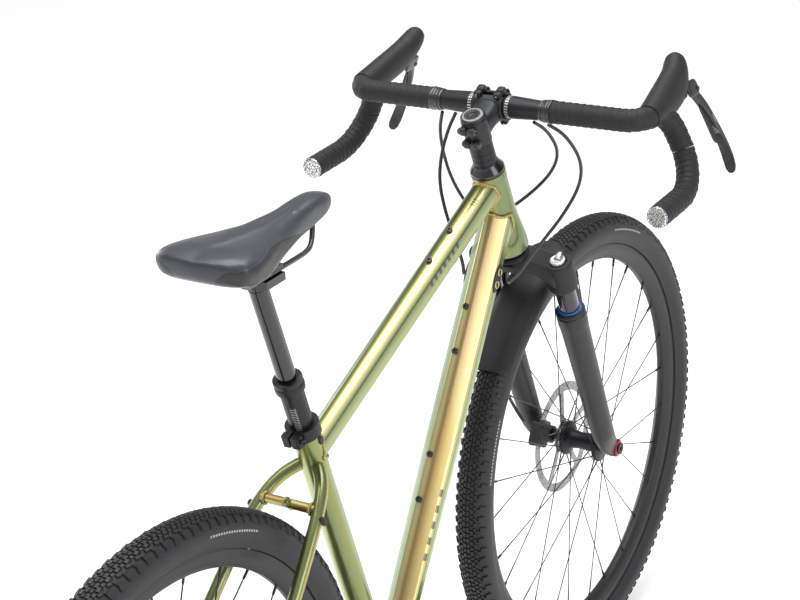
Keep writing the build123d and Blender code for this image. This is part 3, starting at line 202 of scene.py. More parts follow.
def skin(name, grid, finishes, body, ring=True, loop=False, ends=True, sharp=40):
    """Mesh on a grid of points: (i, j) joins (i + 1, j), (i + 1, j + 1) and (i, j + 1). ring joins
    the last column to the first, loop the last row to the first, and ends closes the first and
    last rows with a fan round their middle. The UV map is the share along and the share around."""
    grid = np.asarray(grid, float)
    rows, columns = grid.shape[:2]
    row = np.arange(rows if loop else rows - 1)[:, None]
    column = np.arange(columns if ring else columns - 1)[None, :]
    steps = [(0, 0), (1, 0), (1, 1), (0, 1)]
    faces = np.stack([(row + a) % rows * columns + (column + b) % columns for a, b in steps], -1)
    along = np.stack([(row + a + 0 * column) / (rows - (not loop)) for a, b in steps], -1)
    round_ = np.stack([(column + b + 0 * row) / (columns - (not ring)) for a, b in steps], -1)
    faces = faces.reshape(-1, 4)
    uv = np.stack([along, round_], -1).reshape(-1, 4, 2)
    points = grid.reshape(-1, 3)
    a, b, c, d = (points[faces[:, k]] for k in range(4))
    volume = (a * np.cross(b, c)).sum() + (a * np.cross(c, d)).sum()
    polygons = faces.tolist()
    corners = uv.reshape(-1, 2)
    if ring and ends and not loop:
        middles = np.stack([grid[0].mean(0), grid[-1].mean(0)])
        points = np.concatenate([points, middles])
        here = np.arange(columns)
        there = (here + 1) % columns
        first = np.stack([np.full(columns, rows * columns), here, there], -1)
        last_row = (rows - 1) * columns
        last = np.stack([np.full(columns, rows * columns + 1), last_row + there, last_row + here], -1)
        polygons += first.tolist() + last.tolist()
        share = (here + 0.5) / columns
        for edge in (0.0, 1.0):
            cap = np.stack([np.full(columns, edge), share], -1)
            corners = np.concatenate([corners, np.repeat(cap, 3, 0)])
    if volume < 0:
        polygons = [face[::-1] for face in polygons]
        sizes = [len(face) for face in polygons]
        starts = np.cumsum([0] + sizes[:-1])
        order = np.concatenate([np.arange(s + n - 1, s - 1, -1) for s, n in zip(starts, sizes)])
        corners = corners[order]
    mesh = bpy.data.meshes.new(name)
    mesh.from_pydata(points, [], polygons)
    mesh.uv_layers.new(name="UVMap").data.foreach_set("uv", corners.ravel())
    mesh.shade_smooth()
    mesh.set_sharp_from_angle(angle=radians(sharp))
    return piece(mesh, finishes, body)


def piece(mesh, finishes, body):
    """The mesh as an object with its material, riding on a body."""
    made = bpy.data.objects.new(mesh.name, mesh)
    bpy.context.scene.collection.objects.link(made)
    mesh.materials.append(finishes)
    if body:
        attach(made, body)
    return made


def joined(name, parts):
    """The parts become one object."""
    with bpy.context.temp_override(active_object=parts[0], selected_editable_objects=parts):
        bpy.ops.object.join()
    parts[0].name = parts[0].data.name = name
    return parts[0]


def eased(corners, share=0.5, steps=6):
    """A line with each corner rounded: from `share` of the way back to `share` of the way on, along
    the parabola (1 - t)^2 a + 2 t (1 - t) corner + t^2 b. A half makes one smooth curve."""
    corners = np.asarray(corners, float)
    before, at, after = corners[:-2, None], corners[1:-1, None], corners[2:, None]
    t = np.linspace(0, 1, steps)[None, :, None]
    a, b = at + (before - at) * share, at + (after - at) * share
    bend = ((1 - t) ** 2 * a + 2 * t * (1 - t) * at + t**2 * b).reshape(-1, corners.shape[1])
    line = np.concatenate([corners[:1], bend, corners[-1:]])
    apart = np.linalg.norm(np.diff(line, axis=0), axis=1) > 1e-7
    return line[np.concatenate([[True], apart])]


def evened(line, count):
    """The same line with `count` points at even distances along it."""
    line = np.asarray(line, float)
    run = np.concatenate([[0], np.cumsum(np.linalg.norm(np.diff(line, axis=0), axis=1))])
    at = np.linspace(0, run[-1], count)
    return np.stack([np.interp(at, run, line[:, k]) for k in range(line.shape[1])], -1)


def full_turn(count):
    """Even angles once round."""
    return np.linspace(0, 2 * pi, count, endpoint=False)


def squared(wave, power):
    """The wave raised to the power with its sign kept: under 1 it fills the corners of a section."""
    return np.sign(wave) * np.abs(wave) ** power


def turned(profile, sides=64):
    """Profile points (radius, height) carried round the Z axis: (r cos a, r sin a, h)."""
    profile = np.asarray(profile, float)
    a = full_turn(sides)[None]
    radius, height = profile[:, :1], profile[:, 1:2]
    return np.stack([radius * np.cos(a), radius * np.sin(a), height + 0 * a], -1)


def placed(grid, origin, x_way, y_way, z_way):
    """Local points moved to origin + x * x_way + y * y_way + z * z_way."""
    return origin + grid @ np.stack([x_way, y_way, z_way])


def spun(profile, sides, centre):
    """Profile points (radius, height) carried round the line to the left through the centre."""
    return placed(turned(profile, sides), centre, AHEAD, -UP, LEFT)


def steered(grid):
    """Points given along the steering axis: ahead of it, left of it, up it from the foot."""
    return placed(np.asarray(grid, float), steer_foot, steer_ahead, LEFT, steer_up)


def unit(v):
    return v / np.linalg.norm(v, axis=-1, keepdims=True)


def carried(path, section, across, loop=False):
    """A section (sideways, outwards) carried along a path: sideways is `across` made square to
    the path, and outwards is square to both. The section may change from point to point."""
    path = np.asarray(path, float)
    way = unit(np.roll(path, -1, 0) - np.roll(path, 1, 0) if loop else np.gradient(path, axis=0))
    across = np.broadcast_to(across, path.shape)
    side = unit(across - (across * way).sum(-1, keepdims=True) * way)
    out = np.cross(way, side)
    section = np.asarray(section, float)
    return path[:, None] + section[..., :1] * side[:, None] + section[..., 1:2] * out[:, None]


def squarish(wide, tall, turns, power=1.0):
    """Section (wide cos, tall sin) at the turns, its corners filled when the power is under 1."""
    return np.stack([wide * squared(np.cos(turns), power), tall * squared(np.sin(turns), power)], -1)


def round_section(radius, sides=24):
    """Circle of points; radius may be a column with one value for each path point."""
    a = full_turn(sides)
    return np.asarray(radius)[..., None, None] * np.stack([np.cos(a), np.sin(a)], -1)


# The paint's green and gold. The ramps below also use them for light: gold and yellow as painted highlights, olive
# as painted shade, pale green at the edges as a painted sheen.
GREEN = (0.17, 0.21, 0.075)
PALE_GREEN = (0.29, 0.36, 0.20)
OLIVE = (0.125, 0.13, 0.028)
BRONZE = (0.33, 0.215, 0.08)
GOLD = (0.50, 0.385, 0.11)
# Round the top tube: the bright band at the shoulder crease is a painted highlight, the olive upper facet and
# underside are painted shade, over the paint's green.
TOP_SHIFT_AND_PAINTED_LIGHT = [(0.0, PALE_GREEN), (1.0, PALE_GREEN), (0.10, GREEN), (0.20, OLIVE), (0.28, (0.42, 0.42, 0.12)),
             (0.35, (0.70, 0.66, 0.32)), (0.40, GREEN), (0.50, (0.42, 0.46, 0.20)), (0.62, GREEN),
             (0.80, OLIVE)]
head_low, head_high = 0.448, 0.587
head_profile = eased([(0.0285, head_low), (0.0285, head_low + 0.018), (0.024, head_low + 0.060),
                      (0.024, head_high - 0.020), (0.0250, head_high - 0.012), (0.0250, head_high)], 0.35, 5)
head_grid = steered(turned(evened(head_profile, 40), 96))
# Round the head tube: the narrow gold and bronze band is a painted highlight, the olive beside it painted shade
# and the pale green side a painted sheen, over the paint's green.
head_paint = painted("head_paint", [(0.0, GREEN), (1.0, GREEN), (0.25, PALE_GREEN), (0.42, OLIVE),
                                    (0.49, GOLD), (0.51, BRONZE), (0.54, GOLD), (0.60, GREEN)])
head_tube = skin("painted_head_tube", head_grid, head_paint, "frame")
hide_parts("head_tube")

# ---- Down tube ----
# The largest tube, drawn to eight facets: a narrow flat on top that carries the bottle bolts, a wide
# slanting facet each side of it, and upright sides. It is welded to the head tube and the crank shell.


def faceted(angles, facings, distances, crispness=30):
    """Radius of a soft-edged polygon at each angle: one over the high-power mean, over the sides,
    of cos(angle - facing) / distance."""
    lean = np.cos(angles[:, None] - np.radians(facings)[None]) / np.asarray(distances)[None]
    return (np.clip(lean, 0, None) ** crispness).sum(1) ** (-1 / crispness)


def frame_tube(start, end, radii, widths, heights, rows=48):
    """A section round the line from start to end; widths and heights scale it at the start, the
    middle and the end. Angle 0 faces left and a quarter turn is the top."""
    way = unit(end - start)
    top = np.cross(way, LEFT) * -1
    top = top if top[2] > 0 else -top
    t = np.linspace(0, 1, rows)
    a = np.linspace(0, 2 * pi, len(radii), endpoint=False)
    wide = np.interp(t, [0, 0.5, 1], widths)[:, None, None]
    tall = np.interp(t, [0, 0.5, 1], heights)[:, None, None]
    centre = (start + (end - start) * t[:, None])[:, None]
    sideways = (radii * np.cos(a))[None, :, None] * LEFT
    return centre + sideways * wide + (radii * np.sin(a))[None, :, None] * top * tall


round_turn = full_turn(96)
down_radii = faceted(round_turn, [90, 49, 131, 0, 180, -49, -131, -90],
                     [1.0, 0.88, 0.88, 0.97, 0.97, 0.90, 0.90, 0.97])
down_low = crank + AHEAD * 0.012
down_high = steer_foot + steer_up * (head_low + 0.067)
down_way = unit(down_high - down_low)
# Round the down tube: the yellow and gold bands on the top flat and the right slant are painted highlights, the
# dark olive stripe beside them and the underside are painted shade, and the pale green sides a painted sheen, over
# the paint's bronze and green.
DOWN_SHIFT_AND_PAINTED_LIGHT = [(0.0, PALE_GREEN), (1.0, GREEN), (0.11, PALE_GREEN), (0.16, (0.20, 0.21, 0.06)),
              (0.215, (0.34, 0.31, 0.09)), (0.232, (0.78, 0.68, 0.34)), (0.262, (0.72, 0.60, 0.27)),
              (0.29, (0.40, 0.25, 0.09)), (0.31, BRONZE), (0.39, (0.62, 0.48, 0.19)),
              (0.455, (0.66, 0.56, 0.24)), (0.48, GREEN), (0.54, (0.46, 0.52, 0.26)), (0.75, OLIVE)]
down_marks = [(low, low + 0.016, 0.425, 0.462) for low in (0.24, 0.275, 0.31, 0.345, 0.38)]
down_paint = painted("down_tube_paint", DOWN_SHIFT_AND_PAINTED_LIGHT, down_marks)
down_grid = frame_tube(down_low, down_high - down_way * 0.012, down_radii, [0.0215, 0.0246, 0.0238],
                       [0.0205, 0.0248, 0.0256])
down_tube = skin("painted_down_tube", down_grid, down_paint, "frame", sharp=60)
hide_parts("down_tube")

# ---- Top tube ----
# Crowned on top, creased along each shoulder and flatter at the sides, with two bolts for a bag
# near the head tube. It slopes down to the seat tube and is welded at both ends.
top_radii = faceted(round_turn, [90, 72, 108, 54, 126, 8, 172, -35, -145, -90],
                    [1.0, 1.0, 1.0, 1.01, 1.01, 0.93, 0.93, 0.94, 0.94, 0.97], 44)
top_front = steer_foot + steer_up * (head_low + 0.114)
top_rear = crank + seat_up * 0.408
top_way = unit(top_front - top_rear)
top_marks = [(low, low + 0.012, 0.40, 0.455) for low in (0.60, 0.625, 0.65, 0.675, 0.70, 0.725, 0.75)]
top_marks += [(low, low + 0.004, 0.27, 0.34) for low in (0.895, 0.905, 0.915)]
top_paint = painted("top_tube_paint", TOP_SHIFT_AND_PAINTED_LIGHT, top_marks)
top_grid = frame_tube(top_rear, top_front - top_way * 0.012, top_radii, [0.0178, 0.0188, 0.0198],
                      [0.0180, 0.0198, 0.0202])
top_tube = skin("painted_top_tube", top_grid, top_paint, "frame", sharp=60)
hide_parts("top_tube")

# ---- Seat tube and crank shell ----
# A round drawn tube, slotted at the back of its top so that the clamp can close it on the seatpost,
# and the wide machined shell at its foot that holds the crank bearings.
# Round the seat tube: the lighter olive band is a painted highlight and the dark band beside it painted shade,
# over the paint's green.
SEAT_SHIFT_AND_PAINTED_LIGHT = [(0.0, PALE_GREEN), (1.0, PALE_GREEN), (0.12, GREEN), (0.30, OLIVE), (0.42, (0.44, 0.46, 0.18)),
              (0.52, (0.50, 0.50, 0.20)), (0.60, GREEN), (0.72, (0.24, 0.25, 0.06)), (0.82, PALE_GREEN)]
seat_paint = painted("seat_tube_paint", SEAT_SHIFT_AND_PAINTED_LIGHT, [(0.66, 0.70, 0.545, 0.565), (0.66, 0.70, 0.575, 0.585)])


def seated(grid):
    """Points given along the seat tube: ahead of it, left of it, up it from the crank axis."""
    return placed(np.asarray(grid, float), crank, seat_ahead, LEFT, seat_up)


seat_high, seat_radius, seat_bore = 0.458, 0.018, 0.0156
seat_profile = [(seat_radius, 0.0)] + [(seat_radius, h) for h in np.linspace(0.02, seat_high - 0.0006, 60)]
seat_profile += [(seat_radius - 0.0006, seat_high), (seat_bore, seat_high), (seat_bore, seat_high - 0.07)]
seat_grid = turned(seat_profile, 96)
slot_half_angle = 0.06
turn = full_turn(96)
slot_depth = 0.030 * np.clip(1 - ((turn - pi) / slot_half_angle) ** 2, 0, None) ** 0.5
rim_rows = slice(55, 64)
seat_grid[rim_rows, :, 2] = np.minimum(seat_grid[rim_rows, :, 2], seat_high - slot_depth[None])
seat_tube = skin("painted_seat_tube", seated(seat_grid), seat_paint, "frame")
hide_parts("seat_tube")
shell_profile = eased([(0.018, -0.0365), (0.0223, -0.0365), (0.023, -0.0355), (0.023, 0.0355),
                       (0.0223, 0.0365), (0.018, 0.0365)], 0.3, 4)
shell_grid = spun(shell_profile, 72, crank)
shell = skin("painted_crank_shell", shell_grid, seat_paint, "frame", loop=True)
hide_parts("bottom_bracket_shell")

# ---- Weld beads ----
# Each joint is closed by a hand-laid bead: overlapping puddles of filler, painted over with the
# frame, that follow the line where one tube meets the side of the next.


def meeting(rim, way, axis_point, axis_way, radius):
    """Where lines from the rim points first meet a round tube: the nearer root of the quadratic
    that puts their distance from its axis at the radius."""
    def flat(v):
        return v - (v @ axis_way)[..., None] * axis_way
    run, start = flat(way), flat(rim - axis_point)
    a, b, c = run @ run, start @ run, (start**2).sum(-1) - radius**2
    reach = (-b - np.sqrt(np.clip(b * b - a * c, 0, None))) / a
    return rim + way * reach[:, None]


def bead(name, line, centre, puddle, width, finishes):
    """Half-sunk cord of filler on a closed line, its radius rising and falling once a puddle."""
    line = evened(np.concatenate([line, line[:1]]), 321)[:-1]
    length = np.linalg.norm(np.diff(line, axis=0), axis=1).sum()
    count = round(length / puddle)
    swell = np.abs(np.cos(np.linspace(0, pi * count, 320, endpoint=False))) ** 0.6
    grid = carried(line, round_section(width * (0.72 + 0.28 * swell), 10), line - centre, loop=True)
    return skin(name, grid, finishes, "frame", loop=True)


bead_width, puddle_length = 0.0030, 0.0034
middle_row = 24
# Gold on one side of each cord and olive on the other: a painted highlight and painted shade, as on the tubes.
bead_paint = painted("weld_paint", [(0.0, GOLD), (1.0, GOLD), (0.35, GREEN), (0.7, OLIVE)])
down_rim = meeting(down_grid[middle_row + 12], down_way, steer_foot, steer_up, 0.0247)
top_rim = meeting(top_grid[middle_row + 12], top_way, steer_foot, steer_up, 0.0242)
seat_rim = meeting(top_grid[middle_row], -top_way, crank, seat_up, seat_radius)
shell_rim = meeting(down_grid[middle_row - 12], -down_way, crank, LEFT, 0.023)
foot_rim = seated(turned([(seat_radius, 0.0216)], 96))[0]
welded = [(down_rim, down_high), (top_rim, top_front), (seat_rim, top_rear), (shell_rim, down_low),
          (foot_rim, crank)]
beads = [bead("bead", rim, centre, puddle_length, bead_width, bead_paint) for rim, centre in welded]
joined("weld_beads", beads)

# ---- Cable port ----
# An oval plastic cover on each side of the down tube, with two rimmed holes where the brake hoses
# and the gear cable enter the frame.
port_black, place, around, feed, bump = finish("port_black",
                                               {"Roughness": 0.45, "Base Color": (0.02, 0.02, 0.022)})
bump(place.noise(700.0), 0.0001, 0.4)
feed("Roughness", place.noise(260.0) * 0.2 + 0.35)
port_gold = grained("port_gold", {"Metallic": 1.0, "Coat Weight": 0.6},
                    (300.0, 2.0, (0.75, 0.62, 0.26), (0.60, 0.56, 0.25)), (500.0, 2.0, 0.15, 0.15))
port_along, port_out, hole_offset = 0.560, 0.0226, 0.009
port_place = down_low + down_way * port_along
port_up = np.cross(down_way, LEFT)
port_parts, ring_parts = [], []
for way in (-1, 1):
    outward = way * LEFT
    base = port_place + outward * port_out
    oval = np.stack([0.021 * np.cos(round_turn), 0.0085 * np.sin(round_turn)], -1)
    shares = np.array([1.0, 1.0, 0.97, 0.90, 0.5, 0.0001])
    lifts = np.array([-0.004, 0.0014, 0.0021, 0.0025, 0.0027, 0.0027])
    grid = (base + shares[:, None, None] * (oval[:, :1] * down_way + oval[:, 1:] * port_up)[None]
            + lifts[:, None, None] * outward)
    port_parts.append(skin("cover", grid, port_black, "frame"))
    for step in (-hole_offset, hole_offset):
        middle = base + down_way * step + outward * 0.0028
        hoop = middle + 0.0046 * (np.cos(round_turn)[:, None] * down_way
                                  + np.sin(round_turn)[:, None] * port_up)
        grid = carried(hoop, round_section(0.0010, 10), hoop - middle, loop=True)
        ring_parts.append(skin("hoop", grid, port_gold, "frame", loop=True))
joined("cable_port_covers", port_parts)
joined("cable_port_rims", ring_parts)

# ---- Seatstays with their bridge ----
# Two slim round tubes that leave the sides of the seat tube, bow out past the tyre and run straight
# to the dropouts. A drilled cross tube, welded between them, takes a mudguard bolt.
stay_radius = 0.0085
stay_root = crank + seat_up * 0.396
stay_foot = rear_axle + np.array([0.020, 0.074, 0.024])
stay_curve = stay_root + np.array([(-0.004, 0.004, 0.002), (-0.012, 0.016, -0.003), (-0.032, 0.033, -0.014),
                                   (-0.058, 0.0435, -0.032), (-0.092, 0.0505, -0.062)])
stay_points = np.concatenate([stay_curve, [stay_foot * 0.5 + stay_curve[-1] * 0.5, stay_foot]])
# Round each seatstay: the gold bands are painted highlights with a bronze line between them, and the olive side is
# painted shade.
STAY_SHIFT_AND_PAINTED_LIGHT = [(0.0, GOLD), (1.0, GOLD), (0.14, BRONZE), (0.22, GOLD), (0.36, GREEN), (0.55, OLIVE),
              (0.74, GREEN), (0.88, (0.66, 0.60, 0.24))]
stay_paint = painted("seatstay_paint", STAY_SHIFT_AND_PAINTED_LIGHT)
stay_line = evened(eased(stay_points, 0.5, 10), 70)
stay_side = np.cross(stay_foot - stay_root, LEFT)
stays = []
for way in (1, -1):
    grid = carried(stay_line * [1, way, 1], round_section(stay_radius, 40), stay_side)
    stays.append(skin("stay", grid, stay_paint, "frame"))
bridge_mount = {m["name"]: m for m in frame["record"]["mounts"]}["bridge_hole"]
bridge_place = np.array(bridge_mount["pos_m"])
bridge_way = np.array(bridge_mount["axis"])
bridge_radius, boss_radius, hole_radius, boss_half = 0.0065, 0.0065, 0.00275, 0.008
bridge_start, bridge_end, weld_at, weld_radius = 0.0032, 0.040, 0.0345, 0.0076
for way in (1, -1):
    line = bridge_place + LEFT * way * np.linspace(bridge_start, bridge_end, 12)[:, None]
    stays.append(skin("bridge", carried(line, round_section(bridge_radius, 32), bridge_way), stay_paint,
                      "frame"))
boss_profile = [(hole_radius, -boss_half), (boss_radius - 0.0005, -boss_half),
                (boss_radius, -boss_half + 0.0005), (boss_radius, boss_half - 0.0005),
                (boss_radius - 0.0005, boss_half), (hole_radius, boss_half)]
boss_grid = placed(turned(boss_profile, 40), bridge_place, LEFT, np.cross(bridge_way, LEFT), bridge_way)
stays.append(skin("boss", boss_grid, stay_paint, "frame", loop=True))
for way in (1, -1):
    middle = bridge_place + LEFT * way * weld_at
    hoop = middle + weld_radius * (np.cos(round_turn)[:, None] * bridge_way
                              + np.sin(round_turn)[:, None] * np.cross(LEFT, bridge_way))
    stays.append(bead("bead", hoop, middle, 0.0022, 0.0019, bead_paint))
seatstays = joined("painted_seatstays", stays)
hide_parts("seatstays")

# ---- Seat clamp and frame bolts ----
# A forged black collar with two ears and a pinch bolt behind the seat tube, and the six low-headed
# steel bolts that close the bottle and bag bosses.


def dressed(node, *finishes):
    """Gives a CAD piece's slots their material."""
    mesh = frame["nodes"][node].data
    mesh.materials.clear()
    for finish_ in finishes:
        mesh.materials.append(finish_)


black_alloy, place, around, feed, bump = finish("black_alloy",
                                                {"Metallic": 0.55, "Base Color": (0.022, 0.022, 0.025)})
scuff = place.noise(140.0, 4.0)
feed("Roughness", scuff * 0.24 + 0.26)
feed("Base Color", scuff.above(0.62, 0.2).mixed((0.020, 0.020, 0.023), (0.05, 0.05, 0.054)))
bump(place.noise(1500.0, 1.0), 0.00004, 0.4)
bolt_steel = grained("bolt_steel", {"Metallic": 0.9},
                     (420.0, 3.0, (0.035, 0.033, 0.036), (0.16, 0.15, 0.15)), (420.0, 3.0, 0.25, 0.22),
                     (420.0, 3.0, 0.00005, 0.5))
dressed("seat_clamp", black_alloy)
dressed("frame_bolts", bolt_steel)
bearing_steel = grained("bearing_steel", {"Metallic": 1.0},
                        (300.0, 2.0, (0.30, 0.30, 0.31), (0.45, 0.45, 0.46)), (900.0, 2.0, 0.2, 0.25))
dressed("frame_bearings", bearing_steel)
dressed("rear_axle", black_alloy)
dressed("front_axle", black_alloy)
dressed("chainstays", stay_paint)

# ---- Stay grommets ----
# Small rubber plugs, one on each seatstay beside the bridge and one on each side of the top tube's
# root, that carry the rear hose and cable in and out of the frame.
grommet_rubber, place, around, feed, bump = finish("grommet_rubber", {"Base Color": (0.018, 0.018, 0.02)})
feed("Roughness", place.noise(800.0) * 0.2 + 0.45)
bump(place.noise(1200.0), 0.00005)
grommet_spots = [(stay_root + [-0.066, 0.0555, -0.040], unit(np.array([0.35, 0.85, 0.40]))),
                 (seated(np.array([0.004, 0.0184, 0.432])), LEFT)]
grommets = []
for spot, facing in grommet_spots:
    for way in (1, -1):
        mirror = np.array([1.0, way, 1.0])
        out = facing * mirror
        long_way = unit(np.cross(np.cross(out, seat_up), out))
        profile = eased([(0.0042, -0.003), (0.0042, 0.0012), (0.0026, 0.0022), (0.0006, 0.0022)], 0.4, 4)
        grid = placed(turned(profile, 28) * [1.7, 1.0, 1.0], spot * mirror, long_way,
                      np.cross(out, long_way), out)
        grommets.append(skin("plug", grid, grommet_rubber, "frame"))
joined("cable_grommets", grommets)

# ---- Tyres ----
# Tubeless 29 inch gravel tyres, moulded from black rubber over a casing of fine cord: dense ramped
# blocks along the middle, angled pairs beside them and larger shoulder blocks that bite in turns.


def copied(name, shapes, faces, finishes, body, sharp=40):
    """Many like parts in one mesh: shapes holds the points of each copy, and all share the faces."""
    copies, count = shapes.shape[:2]
    shift = (np.arange(copies) * count)[:, None, None]
    polygons = []
    for size in sorted({len(face) for face in faces}):
        same = np.array([face for face in faces if len(face) == size])
        polygons += (same[None] + shift).reshape(-1, size).tolist()
    mesh = bpy.data.meshes.new(name)
    mesh.from_pydata(shapes.reshape(-1, 3), [], polygons)
    mesh.uv_layers.new(name="UVMap")
    mesh.shade_smooth()
    mesh.set_sharp_from_angle(angle=radians(sharp))
    return piece(mesh, finishes, body)


def rods(name, starts, ends, shares, radii, finishes, body, sides=8):
    """Round bars from starts to ends, with the given radius at each share of their length."""
    way = unit(ends - starts)
    side = unit(np.cross(way, LEFT + 0.3 * AHEAD))
    other = np.cross(way, side)
    a = full_turn(sides)
    shares, radii = np.array(shares), np.array(radii)
    centre = starts[:, None] + (ends - starts)[:, None] * shares[None, :, None]
    rim = np.cos(a)[None, :, None] * side[:, None] + np.sin(a)[None, :, None] * other[:, None]
    shapes = centre[:, :, None] + radii[None, :, None, None] * rim[:, None]
    step = np.arange(sides)
    faces = [[row * sides + k, (row + 1) * sides + k, (row + 1) * sides + (k + 1) % sides,
              row * sides + (k + 1) % sides]
             for row in range(len(shares) - 1) for k in step.tolist()]
    last = (len(shares) - 1) * sides
    faces += [list(range(sides)), list(range(last + sides - 1, last - 1, -1))]
    return copied(name, shapes.reshape(len(starts), -1, 3), faces, finishes, body, sharp=50)


casing_ring, casing_deep, casing_wide = 0.338, 0.0243, 0.0262
block_count = 134


def around_wheel(axle, turns):
    """Outward and rolling directions at angles round a wheel."""
    out = np.cos(turns)[:, None] * AHEAD + np.sin(turns)[:, None] * UP
    rolling = -np.sin(turns)[:, None] * AHEAD + np.cos(turns)[:, None] * UP
    return out, rolling


def tread_blocks(axle, lean, phase, long_, wide, tall, skew, every=1):
    """One row of blocks: a box with sloped sides and a ramped top, set on the casing at `lean` from
    the middle, `phase` of a pitch on, turned by `skew`."""
    turns = 2 * pi * (np.arange(0, block_count, every) + phase) / block_count
    out, rolling = around_wheel(axle, turns)
    casing = casing_ring + casing_deep * cos(lean)
    normal = cos(lean) * out + sin(lean) * LEFT
    across = -sin(lean) * out + cos(lean) * LEFT
    x_way = cos(skew) * rolling + sin(skew) * across
    y_way = cos(skew) * across - sin(skew) * rolling
    half = np.array([long_, wide]) / 2
    corner = np.array([[-1, -1], [1, -1], [1, 1], [-1, 1]])
    layers = [(1.16, -0.0012), (0.98, tall * 0.78), (0.80, tall)]
    box = np.concatenate([np.column_stack([corner * half * grow, np.full(4, lift)])
                          for grow, lift in layers])
    box[8:, 2] -= 0.22 * tall * (box[8:, 0] > 0)
    middle = axle + casing * out + casing_wide * sin(lean) * LEFT
    return (middle[:, None] + box[None, :, :1] * x_way[:, None] + box[None, :, 1:2] * y_way[:, None]
            + box[None, :, 2:] * normal[:, None])


block_faces = [[3, 2, 1, 0], [8, 9, 10, 11]]
block_faces += [[low + k, low + (k + 1) % 4, low + 4 + (k + 1) % 4, low + 4 + k] for low in (0, 4)
                for k in range(4)]
tread_rubber = grained("tread_rubber", {"Specular IOR Level": 0.45},
                       (260.0, 3.0, (0.010, 0.010, 0.011), (0.026, 0.026, 0.028)), (260.0, 3.0, 0.2, 0.42),
                       (1600.0, 2.0, 0.00008, 0.5))
casing_rubber, place, around, feed, bump = finish("casing_rubber", {"Specular IOR Level": 0.4})
rows_across, turn_share = around.part("X"), around.part("Y")
dust = place.noise(40.0, 4.0)
shade = dust.mixed((0.020, 0.020, 0.022), (0.034, 0.034, 0.037))
letters = turn_share.repeats(420.0).between(0.2, 0.8, 0.05)
for low, high in ((0.04, 0.085), (0.29, 0.335), (0.54, 0.585), (0.79, 0.835)):
    for edge in (0.105, 0.625):
        line = rows_across.between(edge, edge + 0.020, 0.003)
        label = turn_share.between(low, high, 0.002) * line * letters
        shade = (label * 0.75).mixed(shade, (0.55, 0.55, 0.56))
feed("Base Color", shade)
feed("Roughness", dust * 0.2 + 0.45)
bump(place.noise(1400.0, 2.0) + (rows_across * 900.0).sine() * 0.3, 0.00005, 0.35)
casing_turns = np.radians(np.linspace(-118, 118, 56))
casing_line = np.stack([casing_ring + casing_deep * np.cos(casing_turns),
                        casing_wide * np.sin(casing_turns)], -1)
foot_line = np.array([(0.3215, 0.0182), (0.3176, 0.0158), (0.3172, 0.0112), (0.3215, 0.0108), (0.330, 0.016),
                      (0.340, 0.018), (0.350, 0.012)])
tyre_profile = np.concatenate([casing_line, foot_line, foot_line[::-1] * [1, -1]])
rings = [(0.11, 0.0, 0.0068, 0.0052, 0.0024, 0.15), (0.11, 0.5, 0.0052, 0.0042, 0.0022, -0.10),
         (0.31, 0.25, 0.0066, 0.0050, 0.0025, 0.25), (0.31, 0.75, 0.0048, 0.0046, 0.0023, -0.20),
         (0.50, 0.0, 0.0072, 0.0034, 0.0027, 0.70), (0.50, 0.5, 0.0064, 0.0040, 0.0027, -0.30),
         (0.62, 0.16, 0.0030, 0.0068, 0.0027, 0.30)]
for end, axle in (("front", front_axle), ("rear", rear_axle)):
    tyre_grid = spun(tyre_profile, 320, axle)
    casing = skin("casing", tyre_grid, casing_rubber, end + "_wheel", loop=True)
    blocks = [tread_blocks(axle, way * lean, phase + (0.5 if way < 0 else 0), long_, wide, tall, way * skew)
              for lean, phase, long_, wide, tall, skew in rings for way in (1, -1)]
    for way in (1, -1):
        side_phase = 0.5 if way < 0 else 0.0
        blocks.append(tread_blocks(axle, way * 0.84, side_phase, 0.0086, 0.0086, 0.0030, way * 0.12, 2))
        blocks.append(tread_blocks(axle, way * 0.93, side_phase + 1.0, 0.0074, 0.0092, 0.0026, way * -0.18,
                                   2))
    tread = copied("tread", np.concatenate(blocks), block_faces, tread_rubber, end + "_wheel",
                   30)
    tyre = joined(end + "_tyre_moulded", [casing, tread])
    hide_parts(end + "_tyre")

# ---- Rims, spokes and nipples ----
# Extruded alloy rims, rolled, joined and black anodised, laced with 28 butted black spokes in a
# crossed pattern and pulled true by brass nipples.
rim_black = grained("rim_black", {"Metallic": 0.35, "Specular IOR Level": 0.5},
                    (220.0, 2.0, (0.022, 0.022, 0.024), (0.036, 0.036, 0.038)), (220.0, 2.0, 0.15, 0.34),
                    (1800.0, 2.0, 0.00003, 0.4))
spoke_black = grained("spoke_black", {"Metallic": 0.8},
                      (90.0, 2.0, (0.025, 0.025, 0.027), (0.06, 0.06, 0.062)), (400.0, 2.0, 0.2, 0.25))
rim_outline = [(0.3168, 0.0137), (0.3168, 0.0112), (0.3105, 0.0110), (0.3095, 0.0)]
rim_outline += [(0.3105, -0.0110), (0.3168, -0.0112), (0.3168, -0.0137), (0.3150, -0.0140),
                (0.3075, -0.0139), (0.2985, -0.0095), (0.2925, -0.0050), (0.2920, 0.0), (0.2925, 0.0050),
                (0.2985, 0.0095), (0.3075, 0.0139), (0.3150, 0.0140)]
spoke_count, flange_radius, lace_lean = 28, 0.0245, radians(38)
order = np.arange(spoke_count)
left_side = order % 2 == 0
trailing = order % 4 < 2
